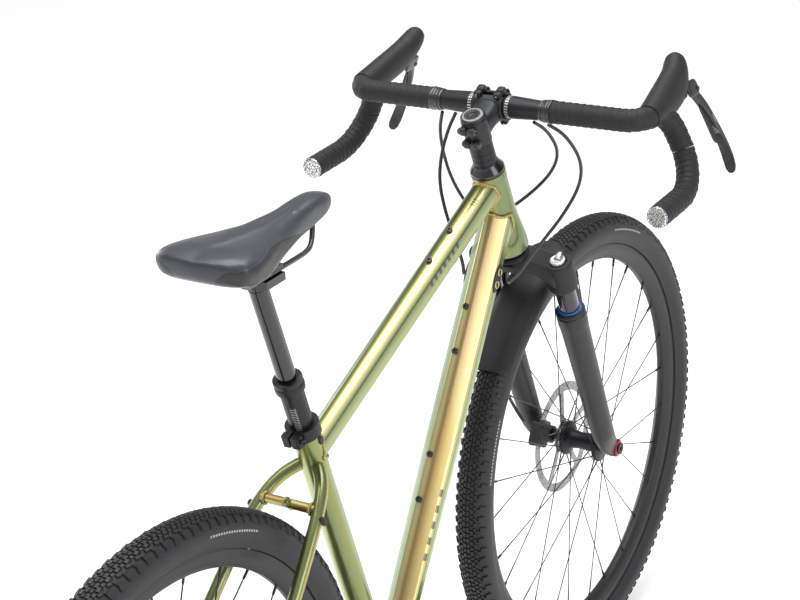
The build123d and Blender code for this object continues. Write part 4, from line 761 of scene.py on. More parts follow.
for end, axle, left_flange, right_flange in (("front", front_axle, 0.024, -0.033),
                                             ("rear", rear_axle, 0.040, -0.019)):
    rim_line = eased(rim_outline + rim_outline[:1], 0.22, 4)
    rim = skin(end + "_rim_anodised", spun(rim_line[:-1], 320, axle), rim_black,
               end + "_wheel", loop=True)
    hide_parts(end + "_rim")
    turns = 2 * pi * order / spoke_count
    lean = np.where(trailing, lace_lean, -lace_lean)
    out, rolling = around_wheel(axle, turns + lean)
    flange = np.where(left_side, left_flange, right_flange) + np.where(trailing, 0.0014, -0.0014)
    starts = axle + flange_radius * out + flange[:, None] * LEFT
    out, rolling = around_wheel(axle, turns)
    ends = axle + 0.2935 * out + np.where(left_side, 0.002, -0.002)[:, None] * LEFT
    near = ends - unit(ends - starts) * 0.0135
    laced = rods("spokes", starts, near, [0, 0.10, 0.16, 0.86, 0.92, 1],
                 [0.00105, 0.00105, 0.0008, 0.0008, 0.00105, 0.00105], spoke_black, end + "_wheel")
    nipples = rods("nipples", near, ends, [0, 0.12, 0.75, 1], [0.0015, 0.00195, 0.00195, 0.0022],
                   spoke_black, end + "_wheel", 6)
    heads = rods("heads", starts, starts + np.where(trailing, 0.0022, -0.0022)[:, None] * LEFT,
                 [0, 0.6, 1], [0.0012, 0.0019, 0.0008], spoke_black, end + "_wheel")
    spokes = joined(end + "_spokes_laced", [laced, nipples, heads])
    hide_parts(end + "_spokes")

# ---- Hubs ----
# Cold-forged alloy shells with a flange at each side for the spoke heads and splines for the brake
# disc, turned and black anodised.
for end, axle, half, left_flange, right_flange in (("front", front_axle, 0.0497, 0.024, -0.033),
                                                   ("rear", rear_axle, 0.0707, 0.040, -0.019)):
    hub_line = eased([(0.0061, -half), (0.0095, -half), (0.0095, right_flange - 0.006),
                      (0.013, right_flange - 0.006), (0.027, right_flange - 0.003),
                      (0.027, right_flange + 0.003), (0.0150, right_flange + 0.008), (0.0132, 0.0),
                      (0.0150, left_flange - 0.008), (0.027, left_flange - 0.003),
                      (0.027, left_flange + 0.003), (0.0160, left_flange + 0.005), (0.0095, half - 0.005),
                      (0.0095, half), (0.0061, half)], 0.2, 3)
    hub = skin(end + "_hub_shell", spun(hub_line, 64, axle), black_alloy,
               end + "_wheel", loop=True)
    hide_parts(end + "_hub")

# ---- Brake discs, calipers and pads ----
# Laser-cut stainless discs, ground on both faces, and forged calipers with sintered pads.
disc_steel = grained("disc_steel", {"Metallic": 1.0}, (700.0, 2.0, (0.22, 0.22, 0.23), (0.42, 0.42, 0.43)),
                     (700.0, 2.0, 0.18, 0.2), (700.0, 2.0, 0.00003, 0.6))
dressed("front_rotor", disc_steel)
dressed("rear_rotor", disc_steel)
caliper_black = grained("caliper_black", {"Metallic": 0.3, "Coat Weight": 0.3},
                        (500.0, 3.0, (0.02, 0.02, 0.022), (0.05, 0.05, 0.053)), (500.0, 3.0, 0.2, 0.3),
                        (500.0, 3.0, 0.0001, 0.5))
pad_grey = grained("pad_grey", {"Metallic": 0.4}, (1800.0, 3.0, (0.08, 0.075, 0.07), (0.2, 0.19, 0.18)),
                   (1800.0, 3.0, 0.3, 0.6), (1800.0, 3.0, 0.0001, 0.8))
for end in ("front", "rear"):
    dressed(end + "_caliper", caliper_black)
    dressed(end + "_pad_inner", pad_grey)
    dressed(end + "_pad_outer", pad_grey)

# ---- Fork crown and steerer ----
# A hollow-forged, matte black bridge with crisp facets that joins the tapered steerer tube to a
# boss at each side, where the upper tubes are pressed in.
fork_matte = grained("fork_matte", {"Specular IOR Level": 0.4},
                     (30.0, 2.0, (0.011, 0.011, 0.012), (0.017, 0.017, 0.018)), (1100.0, 2.0, 0.16, 0.42),
                     (1100.0, 2.0, 0.00004, 0.5))
leg_ahead, leg_across = 0.018, 0.062


def on_leg(grid, way):
    """Points given from the middle of the left leg, way 1, or of the right leg, way -1."""
    return steered(grid + [leg_ahead, way * leg_across, 0])


crown_across = np.array([0.0, 0.014, 0.026, 0.038, 0.050, 0.060, 0.0655])
crown_across = np.concatenate([-crown_across[:0:-1], crown_across])


def both_sides(values):
    """Values given from the middle out, made the same on the other side."""
    values = np.array(values)
    return np.concatenate([values[:0:-1], values])


top = both_sides([0.4375, 0.4370, 0.4320, 0.4255, 0.4185, 0.4125, 0.4090])
under = both_sides([0.4155, 0.4155, 0.4135, 0.4060, 0.3900, 0.3760, 0.3740])
front = both_sides([0.0270, 0.0265, 0.0290, 0.0330, 0.0345, 0.0340, 0.0300])
back = both_sides([-0.0270, -0.0260, -0.0200, -0.0130, -0.0080, -0.0060, -0.0020])
bevel = np.array([(1.0, 0.35), (0.62, 1.0), (-0.62, 1.0), (-1.0, 0.35), (-1.0, -0.55), (-0.70, -1.0),
                  (0.70, -1.0), (1.0, -0.55)])
middle_x, half_x = (front + back) / 2, (front - back) / 2
middle_z, half_z = (top + under) / 2, (top - under) / 2
crown_grid = np.stack([middle_x[:, None] + half_x[:, None] * bevel[None, :, 0],
                       crown_across[:, None] + 0 * bevel[None, :, 0],
                       middle_z[:, None] + half_z[:, None] * bevel[None, :, 1]], -1)
crown_parts = [skin("crown", steered(crown_grid), fork_matte, "steering", sharp=12)]
race = eased([(0.0005, 0.4340), (0.0270, 0.4340), (0.0270, 0.4365), (0.0240, 0.4400), (0.0199, 0.4400),
              (0.0199, 0.462), (0.0143, 0.510), (0.0143, 0.676), (0.0005, 0.676)], 0.2, 3)
crown_parts.append(skin("steerer", steered(turned(race, 64)), fork_matte, "steering"))
for way in (1, -1):
    boss = eased([(0.0152, 0.3665), (0.0205, 0.3660), (0.0215, 0.3690), (0.0215, 0.4090), (0.0200, 0.4145),
                  (0.0150, 0.4150), (0.0129, 0.4140), (0.0127, 0.4113), (0.0005, 0.4113)], 0.3, 5)
    crown_parts.append(skin("boss", on_leg(turned(boss, 72), way), fork_matte, "steering"))
crown = joined("fork_crown_forged", crown_parts)
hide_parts("fork_crown")
shoulder = crown.modifiers.new("eased edges", "BEVEL")
shoulder.width, shoulder.segments = 0.0009, 2
shoulder.limit_method, shoulder.angle_limit = "ANGLE", radians(16)

# ---- Upper tubes and the compression dial ----
# Hard-anodised gloss black tubes slide in the lowers. The right one carries a turned silver dial
# with a thumb tab, and the left one the black cap of the air valve.
stanchion_gloss = grained("stanchion_gloss", {"Metallic": 0.6, "Coat Weight": 1.0, "Coat Roughness": 0.03},
                          (60.0, 2.0, (0.012, 0.012, 0.014), (0.022, 0.022, 0.025)),
                          (500.0, 2.0, 0.08, 0.12))
upper_tubes = []
for way in (1, -1):
    line = [(0.013, 0.1505), (0.015, 0.1515), (0.015, 0.4105), (0.013, 0.4105)]
    upper_tubes.append(skin("tube", on_leg(turned(line, 64), way), stanchion_gloss, "steering",
                            loop=True))
air_cap = eased([(0.0005, 0.4115), (0.0124, 0.4115), (0.0124, 0.4165), (0.0108, 0.4178), (0.0060, 0.4176),
                 (0.0050, 0.4165), (0.0005, 0.4165)], 0.3, 4)
upper_tubes.append(skin("cap", on_leg(turned(air_cap, 60), 1), stanchion_gloss,
                        "steering"))
stanchions = joined("upper_tubes", upper_tubes)
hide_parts("stanchions")
dial_silver = grained("dial_silver", {"Metallic": 1.0}, (900.0, 2.0, (0.55, 0.54, 0.55), (0.80, 0.79, 0.80)),
                      (900.0, 2.0, 0.2, 0.22), (900.0, 2.0, 0.00004, 0.5))
dial_line = eased([(0.0005, 0.4117), (0.0122, 0.4117), (0.0122, 0.4150), (0.0116, 0.4176), (0.0090, 0.4184),
                   (0.0080, 0.4176), (0.0005, 0.4176)], 0.3, 4)
dial_grid = turned(dial_line, 96)
knurl = 1 + 0.018 * np.sign(np.cos(24 * full_turn(96)))
dial_rows = (dial_grid[:, :, 2] > 0.4140) & (dial_grid[:, :, 2] < 0.4172)
dial_grid[..., :2] = np.where(dial_rows[..., None], dial_grid[..., :2] * knurl[None, :, None],
                              dial_grid[..., :2])
dial_parts = [skin("dial", on_leg(dial_grid, -1), dial_silver, "lockout_dial")]
tab_line = np.array([(0.000, 0, 0.4182), (0.004, 0, 0.4200), (0.009, 0, 0.4212), (0.0118, 0, 0.4205),
                     (0.0124, 0, 0.4196)])
tab_wide = np.array([0.0060, 0.0048, 0.0040, 0.0034, 0.0012])
tab_turn = full_turn(20)
tab_section = np.stack([tab_wide[:, None] * np.cos(tab_turn),
                        0.0016 * np.sin(tab_turn) + 0 * tab_wide[:, None]], -1)
dial_parts.append(skin("tab", on_leg(carried(tab_line, tab_section, LEFT), -1), dial_silver, "lockout_dial"))
dial = joined("dial_with_tab", dial_parts)
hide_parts("lockout_dial")

# ---- Fork lowers with their arch ----
# One magnesium casting: a tapering leg at each side that swells into the axle clamp, joined over
# the tyre by a ribbed arch, and painted satin dark grey.
lower_satin = grained("lower_satin", {"Specular IOR Level": 0.45, "Coat Weight": 0.15,
                                      "Coat Roughness": 0.3},
                      (24.0, 2.0, (0.010, 0.010, 0.012), (0.016, 0.016, 0.018)), (900.0, 2.0, 0.14, 0.36),
                      (900.0, 2.0, 0.00005, 0.5))
leg_z = np.array([0.3170, 0.3165, 0.3140, 0.300, 0.292, 0.284, 0.22, 0.15, 0.09, 0.060, 0.040, 0.022, 0.006,
                  -0.006, -0.0135, -0.0150])
leg_x = np.array([0, 0, 0, 0, 0, 0, 0, 0, 0, 0.001, 0.006, 0.013, 0.0205, 0.0250, 0.0268,
                  0.0270]) + leg_ahead
leg_wide = np.array([0.0165, 0.0208, 0.0222, 0.0225, 0.0220, 0.0212, 0.0202, 0.0192, 0.0186, 0.0190, 0.0196,
                     0.0195, 0.0165, 0.0125, 0.0065, 0.0003])
leg_thick = np.array([0.0165, 0.0208, 0.0222, 0.0225, 0.0220, 0.0212, 0.0202, 0.0190, 0.0182, 0.0168, 0.0138,
                      0.0100, 0.0075, 0.0068, 0.0045, 0.0003])
leg_y = np.array([0, 0, 0, 0, 0, 0, 0, 0, 0, 0, -0.0015, -0.0035, -0.005, -0.005, -0.005,
                  -0.005]) + leg_across
fine = np.linspace(0, len(leg_z) - 1, 90)
knots = np.arange(len(leg_z))


def smoothed(values, rounds=3):
    """Fine values through the knots, averaged with their neighbours a few times."""
    line = np.interp(fine, knots, values)
    for _ in range(rounds):
        line[1:-1] = (line[:-2] + 2 * line[1:-1] + line[2:]) / 4
    return line


leg_turn = full_turn(56)
legs = []
for way in (1, -1):
    grid = np.stack([smoothed(leg_x)[:, None] + smoothed(leg_wide)[:, None] * np.cos(leg_turn),
                     way * (smoothed(leg_y)[:, None] + smoothed(leg_thick)[:, None] * np.sin(leg_turn)),
                     smoothed(leg_z)[:, None] + 0 * leg_turn], -1)
    legs.append(skin("leg", steered(grid), lower_satin, "lowers", sharp=60))
    clamp_line = eased([(0.0063, 0.0), (0.0135, 0.0), (0.0142, 0.0010), (0.0142, 0.0132), (0.0132, 0.0142),
                        (0.0088, 0.0142), (0.0080, 0.0130), (0.0063, 0.0130)], 0.3, 4)
    clamp_grid = placed(turned(clamp_line, 56), front_axle + way * 0.0499 * LEFT, AHEAD, UP, way * LEFT)
    legs.append(skin("clamp", clamp_grid, lower_satin, "lowers", loop=True))
arch_ahead = 0.0500
arch_points = [(arch_ahead - 0.012, -leg_across, 0.289), (arch_ahead - 0.004, -leg_across + 0.001, 0.318),
               (arch_ahead, -0.052, 0.362), (arch_ahead, -0.030, 0.3835), (arch_ahead, 0.0, 0.3870),
               (arch_ahead, 0.030, 0.3835), (arch_ahead, 0.052, 0.362),
               (arch_ahead - 0.004, leg_across - 0.001, 0.318), (arch_ahead - 0.012, leg_across, 0.289)]
arch_line = evened(eased(arch_points, 0.5, 8), 80)
arch_section = squarish(0.0068, 0.0046, full_turn(36), 0.55)
legs.append(skin("arch", steered(carried(arch_line, arch_section, AHEAD)), lower_satin, "lowers"))
for way in (1, -1):
    for high in (0.300, 0.312):
        rib = np.array([(leg_ahead + 0.015, way * leg_across, high - 0.004),
                        (arch_ahead - 0.008, way * leg_across, high)])
        grid = carried(evened(rib, 8), arch_section * [0.5, 1.2], LEFT)
        legs.append(skin("rib", steered(grid), lower_satin, "lowers"))
lowers = joined("fork_lowers_cast", legs)
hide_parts("fork_lowers")

# ---- Wiper seals ----
# Black rubber wipers pressed into the top of each leg, with a bright blue lip that scrapes the
# upper tube clean as it slides.
wiper_rubber, place, around, feed, bump = finish("wiper_rubber", {"Base Color": (0.018, 0.018, 0.02)})
feed("Roughness", place.noise(700.0) * 0.2 + 0.42)
bump(place.noise(1300.0), 0.00005, 0.5)
lip_blue = grained("lip_blue", {"Specular IOR Level": 0.5},
                   (400.0, 2.0, (0.012, 0.10, 0.42), (0.03, 0.20, 0.62)), (600.0, 2.0, 0.15, 0.3))
seals, lips = [], []
for way in (1, -1):
    line = eased([(0.0152, 0.3172), (0.0216, 0.3172), (0.0222, 0.3190), (0.0222, 0.3205), (0.0205, 0.3225),
                  (0.0172, 0.3232), (0.0152, 0.3232)], 0.3, 4)
    seals.append(skin("seal", on_leg(turned(line, 64), way), wiper_rubber, "lowers",
                      loop=True))
    line = eased([(0.0152, 0.3228), (0.0176, 0.3230), (0.0180, 0.3244), (0.0168, 0.3254), (0.0152, 0.3256)],
                 0.3, 4)
    lips.append(skin("lip", on_leg(turned(line, 64), way), lip_blue, "lowers", loop=True))
wipers = joined("wiper_seals", seals)
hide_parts("fork_seals")
joined("wiper_lips", lips)

# ---- Front mudguard ----
# A short guard of matte black polypropylene, bolted under the arch. Its edges curl down round the
# tyre, and its tail is cut square with soft corners.
guard_matte = grained("guard_matte", {"Specular IOR Level": 0.35},
                      (20.0, 2.0, (0.014, 0.014, 0.016), (0.022, 0.022, 0.025)), (1300.0, 2.0, 0.15, 0.42),
                      (1300.0, 2.0, 0.00006, 0.6))
guard_turns = np.radians(np.linspace(101, 139, 60))
guard_share = np.linspace(0, 1, 60)
guard_half = 0.0328 * (1 - 0.30 * np.clip(1 - guard_share / 0.05, 0, 1) ** 2
                       - 0.32 * np.clip((guard_share - 0.93) / 0.07, 0, 1) ** 2.4)
guard_across = np.sin(np.linspace(-pi / 2, pi / 2, 25))
guard_out = 0.3716 - 0.0085 * np.abs(guard_across) ** 3.4
guard_in = guard_out - 0.0021
section_y = np.concatenate([guard_across, guard_across[::-1]])
section_y[25:] *= 0.955
section_r = np.concatenate([guard_out, guard_in[::-1]])
out, rolling = around_wheel(front_axle, guard_turns)
guard_grid = (front_axle + out[:, None] * section_r[None, :, None]
              + guard_half[:, None, None] * section_y[None, :, None] * LEFT)
guard = skin("front_mudguard", guard_grid, guard_matte, "lowers", sharp=50)
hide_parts("front_fender")

# ---- Axle cap ----
# The front axle screws in from the right; a red anodised washer sits under its hexagon head.
cap_red = grained("cap_red", {"Metallic": 0.8}, (500.0, 2.0, (0.50, 0.02, 0.05), (0.66, 0.06, 0.10)),
                  (800.0, 2.0, 0.15, 0.25))
washer_line = eased([(0.0092, 0.0642), (0.0118, 0.0642), (0.0122, 0.0650), (0.0118, 0.0662),
                     (0.0092, 0.0666)], 0.3, 4)
washer_grid = placed(turned(washer_line, 56), front_axle, AHEAD, UP, -LEFT)
skin("axle_washer", washer_grid, cap_red, "lowers", loop=True)

# ---- Headset cover and spacers ----
# A domed gloss cover keeps water off the upper bearing. Satin alloy spacers above it carry the
# stem, with a fine groove where one meets the next.
cover_gloss = grained("cover_gloss", {"Metallic": 0.5, "Coat Weight": 0.9, "Coat Roughness": 0.05},
                      (80.0, 2.0, (0.014, 0.014, 0.018), (0.024, 0.024, 0.030)), (600.0, 2.0, 0.12, 0.18))
steerer_radius, spacer_radius, stem_low, stem_high = 0.0143, 0.0170, 0.639, 0.679
cover_line = eased([(steerer_radius, 0.5875), (0.0240, 0.5875), (0.0245, 0.5885), (0.0245, 0.5915),
                    (0.0235, 0.5930), (0.0192, 0.6000), (0.0176, 0.6035), (steerer_radius, 0.6037)], 0.35, 6)
stack = [skin("cover", steered(turned(cover_line, 80)), cover_gloss, "steering", loop=True)]
edges = [0.6040, 0.6140, 0.6240, 0.6385]
for low, high in zip(edges, edges[1:]):
    line = eased([(steerer_radius, low + 0.0002), (spacer_radius, low + 0.0002),
                  (spacer_radius, high - 0.0002), (steerer_radius, high - 0.0002)], 0.04, 3)
    stack.append(skin("spacer", steered(turned(line, 72)), black_alloy, "steering",
                      loop=True))
spacers = joined("headset_stack", stack)
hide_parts("headset_spacers")

# ---- Stem ----
# Forged and shot-peened black alloy: a split clamp round the steerer with two pinch bolts behind,
# a short neck, and a half clamp that the faceplate closes on the handlebar with four bolts.
stem_black = grained("stem_black", {"Metallic": 0.45, "Specular IOR Level": 0.5},
                     (60.0, 2.0, (0.020, 0.021, 0.023), (0.034, 0.035, 0.037)), (1300.0, 2.0, 0.14, 0.32),
                     (1300.0, 2.0, 0.00005, 0.5))
stem_reach, stem_rise = 0.052, radians(2.5)
bar_ahead = stem_reach * cos(stem_rise)
bar_up = (stem_low + stem_high) / 2 + stem_reach * sin(stem_rise)
bar_centre = steer_foot + steer_ahead * bar_ahead + steer_up * bar_up


def rounded_block(halves, squareness):
    """Grid of a block with rounded edges: each coordinate of a sphere point raised to the
    squareness, keeping its sign, times the half sizes."""
    up_turn = np.linspace(-pi / 2 + 0.02, pi / 2 - 0.02, 18)[:, None]
    turn_ = full_turn(40)[None]
    ball = np.stack([np.cos(up_turn) * np.cos(turn_), np.cos(up_turn) * np.sin(turn_),
                     np.sin(up_turn) + 0 * turn_], -1)
    return squared(ball, squareness) * np.array(halves)


def pebble(name, middle, halves, finishes, squareness):
    """Block with rounded edges that rides with the steering, square to its axis."""
    grid = placed(rounded_block(halves, squareness), middle, steer_ahead, LEFT, steer_up)
    return skin(name, grid, finishes, "steering", sharp=60)


clamp_line = eased([(0.0146, stem_low), (0.0176, stem_low), (0.0182, stem_low + 0.0012),
                    (0.0182, stem_high - 0.0012), (0.0176, stem_high), (0.0146, stem_high)], 0.3, 4)
stem_parts = [skin("clamp", steered(turned(clamp_line, 80)), stem_black, "steering",
                   loop=True)]
stem_middle = (stem_low + stem_high) / 2
neck_line = np.linspace([0.006, 0, stem_middle], [bar_ahead - 0.0105, 0, bar_up - 0.0003], 14)
neck_share = np.linspace(0, 1, 14)[:, None]
neck_turn = full_turn(56)[None]
neck_wide = 0.0165 + 0.0050 * neck_share**2
neck_tall = 0.0180 - 0.0022 * np.sin(pi * neck_share) - 0.001 * neck_share
neck_section = squarish(neck_wide, neck_tall, neck_turn, 0.62)
stem_parts.append(skin("neck", steered(carried(neck_line, neck_section, LEFT)), stem_black, "steering"))


def clamp_shell(first, last, finishes, body):
    """Half of the bar clamp: a flat bar section carried round the handlebar's axis."""
    turns_ = np.radians(np.linspace(first, last, 40))
    line = np.stack([0.0180 * np.cos(turns_), 0 * turns_, 0.0180 * np.sin(turns_)], -1) + [bar_ahead, 0,
                                                                                           bar_up]
    a = full_turn(40)
    flat = np.stack([0.0228 * squared(np.cos(a), 0.25),
                     0.0021 * squared(np.sin(a), 0.35)], -1)
    return skin("half", steered(carried(line, flat, LEFT)), finishes, body)


stem_parts.append(clamp_shell(100, 260, stem_black, "steering"))
lug_lift, lug_side = 0.0215, 0.0155
for way in (1, -1):
    for side in (1, -1):
        spot = steered([bar_ahead - 0.0046, side * lug_side, bar_up + way * lug_lift])
        stem_parts.append(pebble("lug", spot, (0.0046, 0.0056, 0.0046), stem_black, 0.45))
for lift in (-0.011, 0.011):
    for side in (1, -1):
        spot = steered([-0.0192, side * 0.0066, stem_middle + lift])
        stem_parts.append(pebble("lug", spot, (0.0060, 0.0054, 0.0060), stem_black, 0.5))
stem = joined("forged_stem", stem_parts)
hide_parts("stem")
plate_parts = [clamp_shell(-80, 80, stem_black, "steering")]
for way in (1, -1):
    for side in (1, -1):
        spot = steered([bar_ahead + 0.0060, side * lug_side, bar_up + way * lug_lift])
        plate_parts.append(pebble("pad", spot, (0.0058, 0.0058, 0.0048), stem_black, 0.45))
    spot = steered([bar_ahead + 0.0196, way * 0.0155, bar_up])
    plate_parts.append(pebble("rib", spot, (0.0022, 0.0040, 0.0150), stem_black, 0.4))
faceplate = joined("forged_faceplate", plate_parts)
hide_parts("stem_faceplate")
bolt_line = eased([(0.0005, -0.012), (0.0024, -0.012), (0.0024, 0.0065), (0.0039, 0.0066), (0.0041, 0.0072),
                   (0.0041, 0.0108), (0.0036, 0.0116), (0.0022, 0.0116), (0.0020, 0.0090), (0.0005, 0.0090)],
                  0.25, 3)
bolts = []
for way in (1, -1):
    for side in (1, -1):
        spot = steered([bar_ahead, side * lug_side, bar_up + way * lug_lift])
        bolts.append(skin("bolt", placed(turned(bolt_line, 28), spot, LEFT, steer_up, steer_ahead),
                          bolt_steel, "steering"))
for lift, side in ((-0.011, 1), (0.011, -1)):
    spot = steered([-0.0205, 0.0, stem_middle + lift])
    grid = placed(turned(bolt_line, 28) * [1, 1, 1.15], spot, steer_ahead, -side * steer_up, side * LEFT)
    bolts.append(skin("bolt", grid, bolt_steel, "steering"))
    spot = steered([-0.0205, -side * 0.0128, stem_middle + lift])
    bolts.append(pebble("nut", spot, (0.0040, 0.0022, 0.0040), bolt_steel, 0.5))
cap_finish, place, around, feed, bump = finish("cap_finish", {"Metallic": 0.4, "Coat Weight": 0.4})
cap_share = around.part("X")
tick = around.part("Y").repeats(34.0).between(0.15, 0.8, 0.08)
band = cap_share.between(0.60, 0.68, 0.01) * tick
feed("Base Color", (band * 0.8).mixed((0.018, 0.018, 0.020), (0.55, 0.55, 0.56)))
feed("Roughness", place.noise(500.0) * 0.15 + 0.28)
cap_line = evened(eased([(0.0005, stem_high + 0.0002), (0.0176, stem_high + 0.0002),
                         (0.0178, stem_high + 0.0030), (0.0160, stem_high + 0.0050),
                         (0.0072, stem_high + 0.0054), (0.0060, stem_high + 0.0030),
                         (0.0005, stem_high + 0.0026)], 0.3, 5), 60)
bolts.append(skin("cap", steered(turned(cap_line, 96)), cap_finish, "steering"))
stem_bolts = joined("stem_bolts_and_cap", bolts)
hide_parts("stem_bolts")

# ---- Handlebar ----
# One butted alloy tube: 31.8 mm at the clamp, tapered to the grips, bent forward, down and back,
# with its drops flared outwards. It is bead blasted and black, with plain marks beside the stem.
bar_half, bar_reach, bar_drop, bar_tail = 0.2265, 0.070, 0.116, 0.069
bend, top_hook, low_hook = 0.028, 0.040, 0.060
flare, bar_roll = radians(24), radians(1.3)
bar_bare_end = 0.079
bar_ways = (np.array([cos(bar_roll), 0, sin(bar_roll)]), LEFT, np.array([-sin(bar_roll), 0, cos(bar_roll)]))


def barred(grid):
    """Points given from the handlebar's clamp: ahead, left, up."""
    return placed(np.asarray(grid, float), bar_centre, *bar_ways)


def drop_point(ahead, up, out=0.0):
    """Point of the left drop's flared plane: ahead of the bar, up in the plane, out from it."""
    ahead, up, out = np.broadcast_arrays(ahead, up, out)
    return np.stack([ahead, bar_half - up * sin(flare) + out * cos(flare),
                     up * cos(flare) + out * sin(flare)], -1)


def bent(corners, radii, steps=24):
    """A line whose corners are true arcs, each the rational curve with weight cos(turn / 2) between
    the points radius * tan(turn / 2) either side of the corner."""
    corners = np.asarray(corners, float)
    before, at, after = corners[:-2], corners[1:-1], corners[2:]
    back, on = unit(before - at), unit(after - at)
    half_turn = (pi - np.arccos((back * on).sum(-1))) / 2
    reach = np.asarray(radii) * np.tan(half_turn)
    a, b = at + back * reach[:, None], at + on * reach[:, None]
    t = np.linspace(0, 1, steps)[None, :, None]
    weight = np.cos(half_turn)[:, None, None]
    over = (1 - t) ** 2 * a[:, None] + 2 * t * (1 - t) * weight * at[:, None] + t**2 * b[:, None]
    arcs = over / ((1 - t) ** 2 + 2 * t * (1 - t) * weight + t**2)
    return np.concatenate([corners[:1], arcs.reshape(-1, 3), corners[-1:]])


bar_corners = [(0, bar_bare_end, 0), (0, bar_half, 0), drop_point(bar_reach, 0),
               drop_point(bar_reach, -bar_drop), drop_point(bar_reach - low_hook - bar_tail, -bar_drop)]
bar_line = evened(bent(bar_corners, [bend, top_hook, low_hook]), 460)
bar_length = np.linalg.norm(np.diff(bar_line, axis=0), axis=1).sum()
bar_black, place, around, feed, bump = finish("bar_black", {"Metallic": 0.5, "Specular IOR Level": 0.5})
bead_blast = place.noise(1500.0, 2.0)
across_bar = place.part("Y").size()
letter = around.part("Y").repeats(26.0).between(0.2, 0.75, 0.06)
stripe = across_bar.between(0.0262, 0.0312, 0.0004) * letter
stripe = stripe * (1 - across_bar.between(0.0284, 0.0290, 0.0002))
feed("Base Color", (stripe * 0.9).mixed((0.022, 0.022, 0.024), (0.75, 0.75, 0.76)))
feed("Roughness", bead_blast * 0.14 + 0.33)
bump(bead_blast, 0.00004, 0.5)
middle_line = eased([(0.0116, -0.0800), (0.0133, -0.0800), (0.0136, -0.0780), (0.0158, -0.0360),
                     (0.0159, -0.0330), (0.0159, 0.0330), (0.0158, 0.0360), (0.0136, 0.0780),
                     (0.0133, 0.0800), (0.0116, 0.0800)], 0.3, 5)
bar_parts = [skin("middle", placed(turned(middle_line, 72), bar_centre, bar_ways[0], -bar_ways[2], LEFT),
                  bar_black, "steering")]
plug_silver, place, around, feed, bump = finish("plug_silver", {"Metallic": 1.0})
engraved = place.node("TexVoronoi", {"feature": "DISTANCE_TO_EDGE"}, {"Vector": place, "Scale": 260.0})
cutting = engraved.above(0.05, 0.06)
feed("Base Color", cutting.mixed((0.10, 0.10, 0.10), (0.82, 0.82, 0.83)))
feed("Roughness", cutting * -0.2 + 0.42)
bump(cutting, 0.0003, 0.8)
plug_line = eased([(0.0005, -0.012), (0.0100, -0.012), (0.0100, -0.0002), (0.0150, 0.0), (0.0155, 0.0012),
                   (0.0145, 0.0034), (0.0120, 0.0040), (0.0005, 0.0036)], 0.3, 4)
plug_way = unit(bar_line[-1] - bar_line[-2])
plug_side = unit(np.cross(plug_way, LEFT))
for way in (1, -1):
    mirror = np.array([1.0, way, 1.0])
    grid = placed(turned(plug_line, 64), bar_line[-1], plug_side, np.cross(plug_way, plug_side),
                  plug_way) * mirror
    bar_parts.append(skin("plug", barred(grid), plug_silver, "steering"))
handlebar = joined("handlebar_with_plugs", bar_parts)
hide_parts("handlebar")

# ---- Bar tape ----
# A strip of ribbed foam wound from each end towards the stem, every turn lapping half over the
# last, and closed by four turns of gloss finishing tape.
tape_black, place, around, feed, bump = finish("tape_black", {"Specular IOR Level": 0.4})
weave = place.noise(900.0, 3.0)
pores = place.node("TexVoronoi", None, {"Vector": place, "Scale": 420.0}).above(0.22, 0.2)
feed("Base Color", weave.mixed((0.010, 0.010, 0.011), (0.026, 0.026, 0.028)))
feed("Roughness", weave * 0.2 + 0.50)
bump(weave * 0.5 + pores, 0.00022, 0.6)
tape_radius, wrap_pitch, wrap_step = 0.0163, 0.0105, 0.0011
tape_turn = full_turn(48)
tape_run = np.linspace(0, bar_length, 460)
wind = (tape_run[:, None] / wrap_pitch + tape_turn[None] / (2 * pi)) % 1.0
lap = np.clip(wind / 0.90, 0, 1) ** 0.8 * np.clip((1 - wind) / 0.10, 0, 1) ** 0.5
wobble = 0.00018 * np.sin(tape_run * 310.0)[:, None] * np.cos(2 * tape_turn + 1.0)[None]
tape_round = tape_radius - wrap_step + wrap_step * lap + wobble - 0.0002
tape_round[:4] = np.linspace(0.0128, tape_round[4].mean(), 4)[:, None]
tape_round[-2:] -= 0.0006
tape_grid = carried(bar_line, tape_round[..., None]
                    * np.stack([np.cos(tape_turn), np.sin(tape_turn)], -1)[None],
                    np.array([0.15, -0.4, 0.9]))
tape_gloss = grained("tape_gloss", {"Coat Weight": 0.7, "Coat Roughness": 0.08},
                     (200.0, 2.0, (0.012, 0.012, 0.014), (0.028, 0.028, 0.030)), (350.0, 2.0, 0.2, 0.2))
wraps = []
for way in (1, -1):
    mirror = np.array([1.0, way, 1.0])
    wraps.append(skin("tape", barred(tape_grid * mirror), tape_black, "steering", sharp=30))
    ridge = np.linspace(0, 1, 61)
    swell = 0.0144 + 0.0022 * ridge + 0.0005 * np.abs(np.sin(ridge * pi * 4)) ** 0.7
    line = np.stack([swell, 0.0770 + 0.0175 * ridge], -1)
    line = np.concatenate([[(0.0120, 0.0772)], line, [(0.0120, 0.0945)]])
    grid = spun(line, 64, np.zeros(3)) * mirror
    wraps.append(skin("finishing", barred(grid), tape_gloss, "steering"))
tape = joined("wound_bar_tape", wraps)
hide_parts("bar_tape")

